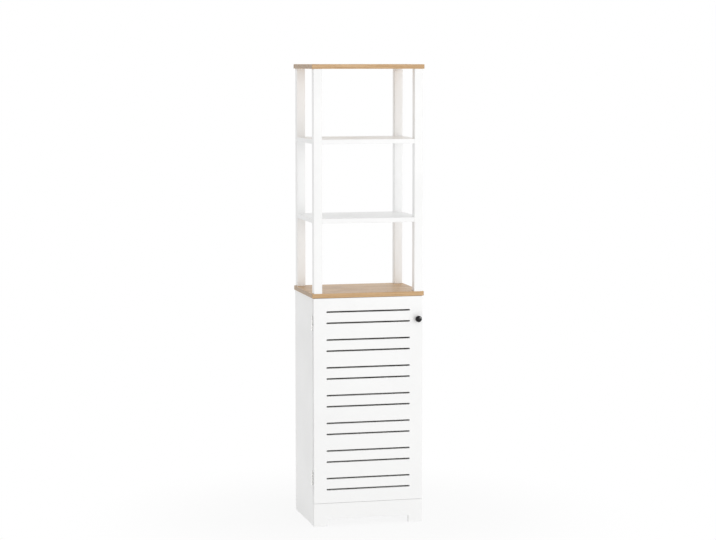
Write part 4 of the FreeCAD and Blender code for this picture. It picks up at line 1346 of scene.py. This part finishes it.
@dataclass
class SlottedDoor:
    """Door panel with pairs of long slots, and the seats of what is fixed to its back."""

    slot_pairs: int = 7
    pair_pitch: float = 0.1
    slot_spacing: float = 0.04
    slot_length: float = 0.308
    slot_width: float = 0.006
    edge_round: float = 0.0006
    screw_seat_radius: float = 0.0045
    screw_seat_depth: float = 0.0024
    round_steps: int = 40

    def build(self) -> None:
        """Builds and dresses the door."""
        extent = Extent.of("slotted_door")
        door = as_piece("door_panel", new_mesh())
        run_tree(door, slotted_panel_tree(), {
            "Width": extent.size.x, "Height": extent.size.z, "Thickness": extent.size.y,
            "Slot Length": self.slot_length, "Slot Width": self.slot_width,
            "Slot Spacing": self.slot_spacing, "Pair Pitch": self.pair_pitch,
            "Pairs": self.slot_pairs, "Softness": self.edge_round, "Centre": extent.centre,
            "Finish": WHITE_LACQUER.material()})
        face_outwards(door)
        depth, radius = self.screw_seat_depth, self.screw_seat_radius
        profile = [(0, -depth), (radius, -depth), (radius, depth), (0, depth)]
        screws = places_of("knob_screw", Way.FORWARD)
        carve(door, LEAF_SEATS.cutters("hinge_door_leaves", -1)
              + cutters_at(screws, profile, self.round_steps))
        dress(door, Body.DOOR, WHITE_LACQUER, "slotted_door")


@dataclass
class TurnedKnob:
    """Round knob turned in one piece: flat base, slim neck, and a wide cap with a domed face."""

    base_radius: float = 0.007
    base_height: float = 0.002
    neck_radius: float = 0.005
    neck_start: float = 0.003
    neck_end: float = 0.012
    cap_start: float = 0.014
    rim_height: float = 0.019
    base_round: float = 0.0003
    shoulder_round: float = 0.0004
    neck_start_round: float = 0.0008
    neck_end_round: float = 0.0015
    cap_round: float = 0.0012
    rim_round: float = 0.0015
    arc_steps: int = 6
    dome_steps: int = 14
    round_steps: int = 96

    def build(self) -> bpy.types.Object:
        """Builds and dresses the knob.

        Returns:
            The knob.
        """
        extent = Extent.of("knob")
        rim, height = extent.size.x / 2, extent.size.y
        rise = height - self.rim_height
        dome_radius = (rim ** 2 + rise ** 2) / (2 * rise)
        reach = math.asin(rim / dome_radius)
        angles = [reach * (1 - step / self.dome_steps) for step in range(1, self.dome_steps)]
        dome = [(dome_radius * math.sin(angle), height - dome_radius * (1 - math.cos(angle)))
                for angle in angles]
        corners = [(0, 0), (self.base_radius, 0), (self.base_radius, self.base_height),
                   (self.neck_radius, self.neck_start), (self.neck_radius, self.neck_end),
                   (rim, self.cap_start), (rim, self.rim_height), *dome, (0, height)]
        radii = [self.base_round, self.shoulder_round, self.neck_start_round,
                 self.neck_end_round, self.cap_round, self.rim_round] + [0.0] * len(dome)
        profile = rounded_line(corners, radii, self.arc_steps)
        knob = turned("black_knob", profile, self.round_steps)
        knob.data.transform(Matrix.Translation(Way.FORWARD.start(extent)) @ Way.FORWARD.turn)
        dress(knob, Body.DOOR, GLOSS_BLACK, "knob")
        return knob


@dataclass(frozen=True)
class Fastener:
    """Round fastener, driven along its own axis from the face that its head meets.

    A head either stands on that face or is sunk in it as a cone; one with a recess is a screw.
    The crest and the foot of a thread's ridge lie at shares of its pitch.
    """

    head_radius: float
    shank_radius: float
    length: float
    head_height: float = 0.0
    cone_depth: float = 0.0
    head_round: float = 0.0003
    recess_length: float = 0.0
    thread_pitch: float = 0.0
    thread_depth: float = 0.0003
    thread_crest: float = 0.3
    thread_foot: float = 0.6
    tip: float = 0.001
    seat_play: float = 0.00004
    round_steps: int = 40

    def build(self) -> bpy.types.Object:
        """Builds one fastener at the origin, driven along local +Z.

        Returns:
            The fastener.
        """
        core = self.shank_radius - (self.thread_depth if self.thread_pitch else 0.0)
        seat = self.cone_depth
        head = [(0.0, -self.head_height), (self.head_radius, -self.head_height)]
        if self.head_height:
            head.append((self.head_radius, 0.0))
        radii = [self.head_round] + [self.head_round / HEAD_TOP_TO_FOOT_ROUND] * (len(head) - 2)
        corners = [*head, (core, seat), (core, self.length - self.tip), (0.0, self.length)]
        line = rounded_line(corners, radii + [0.0, 0.0])
        if self.thread_pitch:
            line = line[:-2] + self._thread(core) + line[-2:]
        made = turned("fastener", line, self.round_steps)
        if self.recess_length:
            top = Matrix.Translation((0, 0, self.head_height))
            made.data.transform(top)
            cross_cut(made, self.recess_length, self.recess_length / RECESS_LENGTH_TO_WIDTH,
                      self.recess_length / RECESS_LENGTH_TO_DEPTH)
            made.data.transform(top.inverted())
        return made

    def _thread(self, core: float) -> list[Pair]:
        """Ridges of the thread, which stops a turn short of the head and of the tip.

        Args:
            core: Radius between the ridges.

        Returns:
            Pairs of radius and height.
        """
        run = self.length - self.tip - self.cone_depth - 2 * self.thread_pitch
        ridges = []
        for number in range(int(run / self.thread_pitch)):
            level = self.cone_depth + (number + 1) * self.thread_pitch
            ridges += [(core, level),
                       (self.shank_radius, level + self.thread_pitch * self.thread_crest),
                       (core, level + self.thread_pitch * self.thread_foot)]
        return ridges

    def set_down(self, name: str, way: Way, finish: Finish, body: Body, node: str) -> None:
        """Sets one down for every solid of a node."""
        set_down(name, places_of(node, way, self.head_height), self.build(), finish, body, node)

    def sinks(self, places: Sequence[Place]) -> list[bpy.types.Object]:
        """Cutters for the cone and the hole of a sunk head at each place.

        Args:
            places: The places.

        Returns:
            The cutters.
        """
        over, play = self.cone_depth, self.seat_play
        hole = self.shank_radius + 2 * play
        profile = [(0.0, -over), (self.head_radius + over + play, -over),
                   (hole, self.head_radius + play - hole), (hole, self.length),
                   (0.0, self.length)]
        return cutters_at(places, profile, self.round_steps)


FLAT_SCREW = Fastener(head_radius=0.0027, shank_radius=0.0015, length=0.012, cone_depth=0.0012,
                      head_round=0.00002, recess_length=0.003, thread_pitch=0.0012)
PAN_SCREW = Fastener(head_radius=0.003, shank_radius=0.0015, length=0.014, head_height=0.002,
                     head_round=0.0011, recess_length=0.0034, thread_pitch=0.0012)
KNOB_SCREW = Fastener(head_radius=0.004, shank_radius=0.002, length=0.0246, head_height=0.0024,
                      head_round=0.0012, recess_length=0.0046, thread_pitch=0.0009, tip=0.0006)
BACK_NAIL = Fastener(head_radius=0.002, shank_radius=0.0008, length=0.02, head_height=0.0006,
                     tip=0.002)
GLIDE = Fastener(head_radius=0.007, shank_radius=0.001, length=0.012, head_height=0.003,
                 head_round=0.0009, tip=0.0015, round_steps=56)


@dataclass
class ButtHinges:
    """Two hinges: leaves with knuckles about a pin, the pins, and two screws to each leaf."""

    knuckles: int = 5
    barrel_radius: float = 0.0025
    barrel_gap: float = 0.0002
    knuckle_gap: float = 0.0002
    bore_radius: float = 0.0013
    leaf_width: float = 0.015
    leaf_thickness: float = 0.0012
    leaf_gap: float = 0.0002
    edge_round: float = 0.00015
    pin_radius: float = 0.00125
    pin_head_radius: float = 0.0022
    pin_head_height: float = 0.001
    pin_end_round: float = 0.00025
    pin_neck_round: float = 0.000125
    pin_head_round: float = 0.0005
    round_steps: int = 48

    def build(self) -> None:
        """Builds and dresses the leaves, pins and screws."""
        self._leaves("hinge_frame_leaves", "frame_leaves", 1, Way.REARWARD, Body.CABINET)
        self._leaves("hinge_door_leaves", "door_leaves", -1, Way.FORWARD, Body.DOOR)
        FLAT_SCREW.set_down("frame_leaf_screws", Way.REARWARD, BRIGHT_NICKEL, Body.CABINET,
                            "hinge_frame_screws")
        FLAT_SCREW.set_down("door_leaf_screws", Way.FORWARD, BRIGHT_NICKEL, Body.DOOR,
                            "hinge_door_screws")
        pins = solids_of("hinge_pins")
        radius, head_radius, length = self.pin_radius, self.pin_head_radius, pins[0].size.z
        neck = length - self.pin_head_height
        profile = rounded_line([(0, 0), (radius, 0), (radius, neck), (head_radius, neck),
                                (head_radius, length), (0, length)],
                               [self.pin_end_round, 0.0, self.pin_neck_round, self.pin_head_round])
        places = [Place(Way.UP.start(pin), Way.UP) for pin in pins]
        set_down("pins_with_heads", places, turned("pin", profile, self.round_steps),
                 BRIGHT_NICKEL, Body.CABINET, "hinge_pins")

    def _leaves(self, node: str, name: str, side: int, way: Way, body: Body) -> None:
        """Both leaves of one kind.

        Args:
            node: Node of the leaves.
            name: Name of their piece.
            side: 1 where they lie behind the pins' plane, -1 where in front of it.
            way: Way that their screws are driven.
            body: Body that they ride on.
        """
        near = HINGE_Y + side * self.leaf_gap / 2
        far = near + side * self.leaf_thickness
        screws = places_of(node.replace("leaves", "screws"), way)
        radius, bore = self.barrel_radius, self.bore_radius
        leaves = []
        for extent in solids_of(node):
            outline, rings = self._comb(extent, first=0 if side > 0 else 1)
            leaf = prism("leaf", outline, Axis.Y, min(near, far), max(near, far), self.edge_round)
            height, span = rings[0][1] - rings[0][0], extent.size.z
            knuckle = rounded_line([(0, 0), (radius, 0), (radius, height), (0, height)],
                                   [self.edge_round] * 2)
            bottoms = [Place(Vector((HINGE_X, HINGE_Y, bottom)), Way.UP) for bottom, _ in rings]
            carve(leaf, cutters_at(bottoms, knuckle, self.round_steps), Carving.JOIN_ON)
            through = [(0, -span), (bore, -span), (bore, 2 * span), (0, 2 * span)]
            own = [screw for screw in screws if extent.holds(screw.point)]
            carve(leaf, cutters_at(bottoms[:1], through, self.round_steps) + FLAT_SCREW.sinks(own))
            leaves.append(leaf)
        dress(joined(name, leaves), body, BRIGHT_NICKEL, node)

    def _comb(self, extent: Extent, first: int) -> tuple[list[Pair], list[Pair]]:
        """Outline of a leaf with its webs, and where its knuckles are.

        Args:
            extent: Extent of the leaf.
            first: Number of its lowest knuckle, 0 or 1; the other leaf has those between.

        Returns:
            The outline, and the bottom and top of each knuckle.
        """
        bottom, top = extent.low.z, extent.high.z
        pitch = (top - bottom + self.knuckle_gap) / self.knuckles
        rings = [(bottom + number * pitch, bottom + (number + 1) * pitch - self.knuckle_gap)
                 for number in range(first, self.knuckles, 2)]
        start, end = HINGE_X + self.barrel_radius + self.barrel_gap, HINGE_X + self.leaf_width
        reach, inset = HINGE_X + (self.bore_radius + self.barrel_radius) / 2, 2 * self.edge_round
        webs = [point for low, high in rings
                for point in ((start, low + inset), (reach, low + inset),
                              (reach, high - inset), (start, high - inset))]
        return [(end, top), (end, bottom), (start, bottom), *webs, (start, top)], rings


@dataclass
class MagneticCatch:
    """Catch on the right side panel, and the strike plate on the door that it holds."""

    ear_thickness: float = 0.004
    block_length: float = 0.028
    housing_round: float = 0.0008
    steel_round: float = 0.0002
    magnet_round: float = 0.0004
    room_play: float = 0.0001

    def build(self) -> None:
        """Builds and dresses the housing, magnet, pole plates, strike plate and screws."""
        extent = Extent.of("catch_housing")
        wall, ear, face = extent.high.x, extent.high.x - self.ear_thickness, extent.low.x
        half, middle = self.block_length / 2, extent.centre.z
        low, high = middle - half, middle + half
        outline = [(wall, extent.low.z), (wall, extent.high.z), (ear, extent.high.z),
                   (ear, high), (face, high), (face, low), (ear, low), (ear, extent.low.z)]
        housing = prism("catch_block", outline, Axis.Y, extent.low.y, extent.high.y,
                        self.housing_round)
        plates = Extent.of("catch_pole_plates")
        play = Vector((self.room_play, 0, self.room_play))
        carve(housing, [box_cutter(plates.low - play, plates.high + play)])
        dress(housing, Body.CABINET, WHITE_PLASTIC, "catch_housing")
        block = slab("ferrite_block", Extent.of("catch_magnet"), self.magnet_round)
        dress(block, Body.CABINET, FERRITE, "catch_magnet")
        steel = [slab("pole_plate", plate, self.steel_round)
                 for plate in solids_of("catch_pole_plates")]
        dress(joined("pole_plate_pair", steel), Body.CABINET, BRIGHT_ZINC, "catch_pole_plates")
        strike = slab("strike", Extent.of("strike_plate"), self.steel_round)
        carve(strike, FLAT_SCREW.sinks(places_of("strike_screw", Way.FORWARD)))
        dress(strike, Body.DOOR, BRIGHT_ZINC, "strike_plate")
        FLAT_SCREW.set_down("strike_plate_screw", Way.FORWARD, BRIGHT_ZINC, Body.DOOR,
                            "strike_screw")
        PAN_SCREW.set_down("catch_ear_screws", Way.RIGHT, BRIGHT_ZINC, Body.CABINET,
                           "catch_screws")


@dataclass
class ShelfPins:
    """Steel pins with a thin collar against the side panels, under the inner shelf."""

    radius: float = 0.0025
    collar_radius: float = 0.004
    collar_height: float = 0.0009
    collar_round: float = 0.0002
    edge_round: float = 0.0005
    round_steps: int = 40

    def build(self) -> None:
        """Builds and dresses the four pins."""
        pins = solids_of("shelf_pins")
        half = pins[0].size.x / 2
        radius, collar_radius, collar_height = self.radius, self.collar_radius, self.collar_height
        soft = self.collar_round
        profile = rounded_line([(0, -half), (radius, -half), (radius, -collar_height),
                                (collar_radius, -collar_height), (collar_radius, 0),
                                (radius, 0), (radius, half), (0, half)],
                               [self.edge_round, soft, soft, soft, 0.0, self.edge_round])
        places = [Place(pin.centre, Way.RIGHT if pin.centre.x > 0 else Way.LEFT) for pin in pins]
        set_down("collared_pins", places, turned("shelf_pin", profile, self.round_steps),
                 BRIGHT_ZINC, Body.CABINET, "shelf_pins")


@dataclass(frozen=True)
class Lamp:
    """Square soft lamp: where it stands, what it shines at, its side, and its power in watts."""

    name: str
    place: Triple
    aim: Triple
    size: float
    power: float

    def build(self) -> bpy.types.Object:
        """Makes the lamp.

        Returns:
            The lamp.
        """
        light = bpy.data.lights.new(self.name, "AREA")
        light.size = self.size
        light.energy = self.power
        lamp = bpy.data.objects.new(self.name, light)
        lamp.location = self.place
        sight = Vector(self.aim) - Vector(self.place)
        lamp.rotation_euler = sight.to_track_quat("-Z", "Y").to_euler()
        bpy.context.scene.collection.objects.link(lamp)
        return lamp


STUDIO_LAMPS = (
    Lamp("front_softbox", place=(1.4, -5.8, 1.45), aim=(0.0, 0.0, 0.5), size=2.8, power=65.0),
    Lamp("side_lamp", place=(4.2, -2.3, 2.9), aim=(0.0, 0.0, 0.75), size=1.3, power=16.0),
    Lamp("overhead_softbox", place=(0.3, 0.15, 4.2), aim=(0.0, 0.0, 0.0), size=2.2, power=14.0))
KNOB_GLEAM = Lamp("knob_gleam", place=(3.8, -2.75, 2.6), aim=(0.0, 0.0, 0.75), size=2.3,
                  power=400.0)


@dataclass(frozen=True)
class Studio:
    """Plain pale floor, soft light and the camera at the photograph's viewing angle.

    The floor is mixed from paint, which takes a shadow, and a white glow. Near the cabinet the
    glow's share is shadow_whiteness, and past shadow_end it is all of it. Where the floor only
    lights other things the share is least_glow, and the world's strength there is fill_light.
    """

    camera_place: Triple = (-1.846, -7.4195, 1.6675)
    camera_yaw: float = 13.945
    camera_pitch: float = 5.677
    camera_lens: float = 106.59
    floor_reach: float = 40.0
    floor_thickness: float = 0.02
    floor_round: float = 0.001
    floor_paint: Colour = (0.86, 0.86, 0.86)
    white: Colour = (1.0, 1.0, 1.0)
    shadow_start: float = 0.25
    shadow_end: float = 1.1
    shadow_whiteness: float = 0.84
    least_glow: float = 0.45
    fill_light: float = 0.735

    def build(self, knob: bpy.types.Object) -> None:
        """Makes the floor, the light and the camera.

        Args:
            knob: The knob, which has a lamp to itself that gleams in it.
        """
        self._floor()
        self._world()
        for lamp in STUDIO_LAMPS:
            lamp.build()
        gleam = KNOB_GLEAM.build()
        lit = bpy.data.collections.new("lit_by_knob_gleam")
        lit.objects.link(knob)
        gleam.light_linking.receiver_collection = lit
        self._camera()

    @staticmethod
    def _seen(net: NodeWriter) -> bpy.types.NodeSocket:
        """1 where the stage is seen, directly or in a gloss or glass, and 0 where it only lights.

        Args:
            net: Writer of the tree.

        Returns:
            The mask.
        """
        rays = net.add("ShaderNodeLightPath").outputs
        seen = net.math("MAXIMUM", rays["Is Camera Ray"], rays["Is Glossy Ray"])
        return net.math("MAXIMUM", seen, rays["Is Transmission Ray"])

    def _floor(self) -> None:
        """Pale floor that takes a faint shadow near the cabinet and fades to white."""
        reach = self.floor_reach
        floor = prism("studio_floor", rectangle(-reach, -reach, reach, reach), Axis.Z,
                      -self.floor_thickness, 0.0, self.floor_round)
        made = bpy.data.materials.new("studio_floor")
        made.use_nodes = True
        made.node_tree.nodes.clear()
        net = NodeWriter(made.node_tree)
        place = net.add("ShaderNodeTexCoord").outputs["Object"]
        distance = net.add("ShaderNodeVectorMath", {0: place}, operation="LENGTH").outputs["Value"]
        fade = net.ramp(distance, self.shadow_start, self.shadow_end, self.shadow_whiteness, 1.0)
        paint = net.add("ShaderNodeBsdfDiffuse", {"Color": (*self.floor_paint, 1.0)})
        white = net.add("ShaderNodeEmission", {"Color": (*self.white, 1.0), "Strength": 1.0})
        glow = net.math("MAXIMUM", net.math("MULTIPLY", self._seen(net), fade), self.least_glow)
        mixed = net.add("ShaderNodeMixShader", {0: glow, 1: paint.outputs[0], 2: white.outputs[0]})
        net.add("ShaderNodeOutputMaterial", {"Surface": mixed.outputs[0]})
        floor.data.materials.append(made)

    def _world(self) -> None:
        """White where it is seen, and a plain even light everywhere else."""
        world = bpy.data.worlds.new("studio_world")
        bpy.context.scene.world = world
        world.use_nodes = True
        world.node_tree.nodes.clear()
        net = NodeWriter(world.node_tree)
        strength = net.ramp(self._seen(net), 0.0, 1.0, self.fill_light, 1.0)
        back = net.add("ShaderNodeBackground", {"Color": (*self.white, 1.0),
                                                "Strength": strength})
        net.add("ShaderNodeOutputWorld", {"Surface": back.outputs[0]})

    def _camera(self) -> None:
        """Camera at the photograph's place, looking slightly down."""
        lens = bpy.data.cameras.new("photo_camera")
        lens.lens = self.camera_lens
        camera = bpy.data.objects.new("photo_camera", lens)
        camera.location = self.camera_place
        camera.rotation_euler = (math.radians(90.0 - self.camera_pitch), 0.0,
                                 -math.radians(self.camera_yaw))
        bpy.context.scene.collection.objects.link(camera)
        bpy.context.scene.camera = camera
        bpy.context.scene.view_settings.view_transform = "Standard"


def main() -> None:
    """Builds the cabinet's pieces in order, then the studio round them."""
    logging.basicConfig(level=logging.INFO, format="%(message)s")
    WoodenBoards().build()
    extents = OpenFrame().build() + Carcass().build()
    CAMS.build(extents)
    ShelfPins().build()
    BACK_NAIL.set_down("back_sheet_nails", Way.FORWARD, BRIGHT_ZINC, Body.CABINET,
                       "back_panel_nails")
    GLIDE.set_down("round_glides", Way.UP, WHITE_PLASTIC, Body.CABINET, "floor_glides")
    SlottedDoor().build()
    knob = TurnedKnob().build()
    KNOB_SCREW.set_down("knob_fixing", Way.FORWARD, BRIGHT_ZINC, Body.DOOR, "knob_screw")
    ButtHinges().build()
    MagneticCatch().build()
    dress_nodes(BARE_BEECH, "wood_dowels")
    dress_nodes(BRIGHT_ZINC, "cam_bolts")
    Studio().build(knob)


if __name__ == "__main__":
    main()
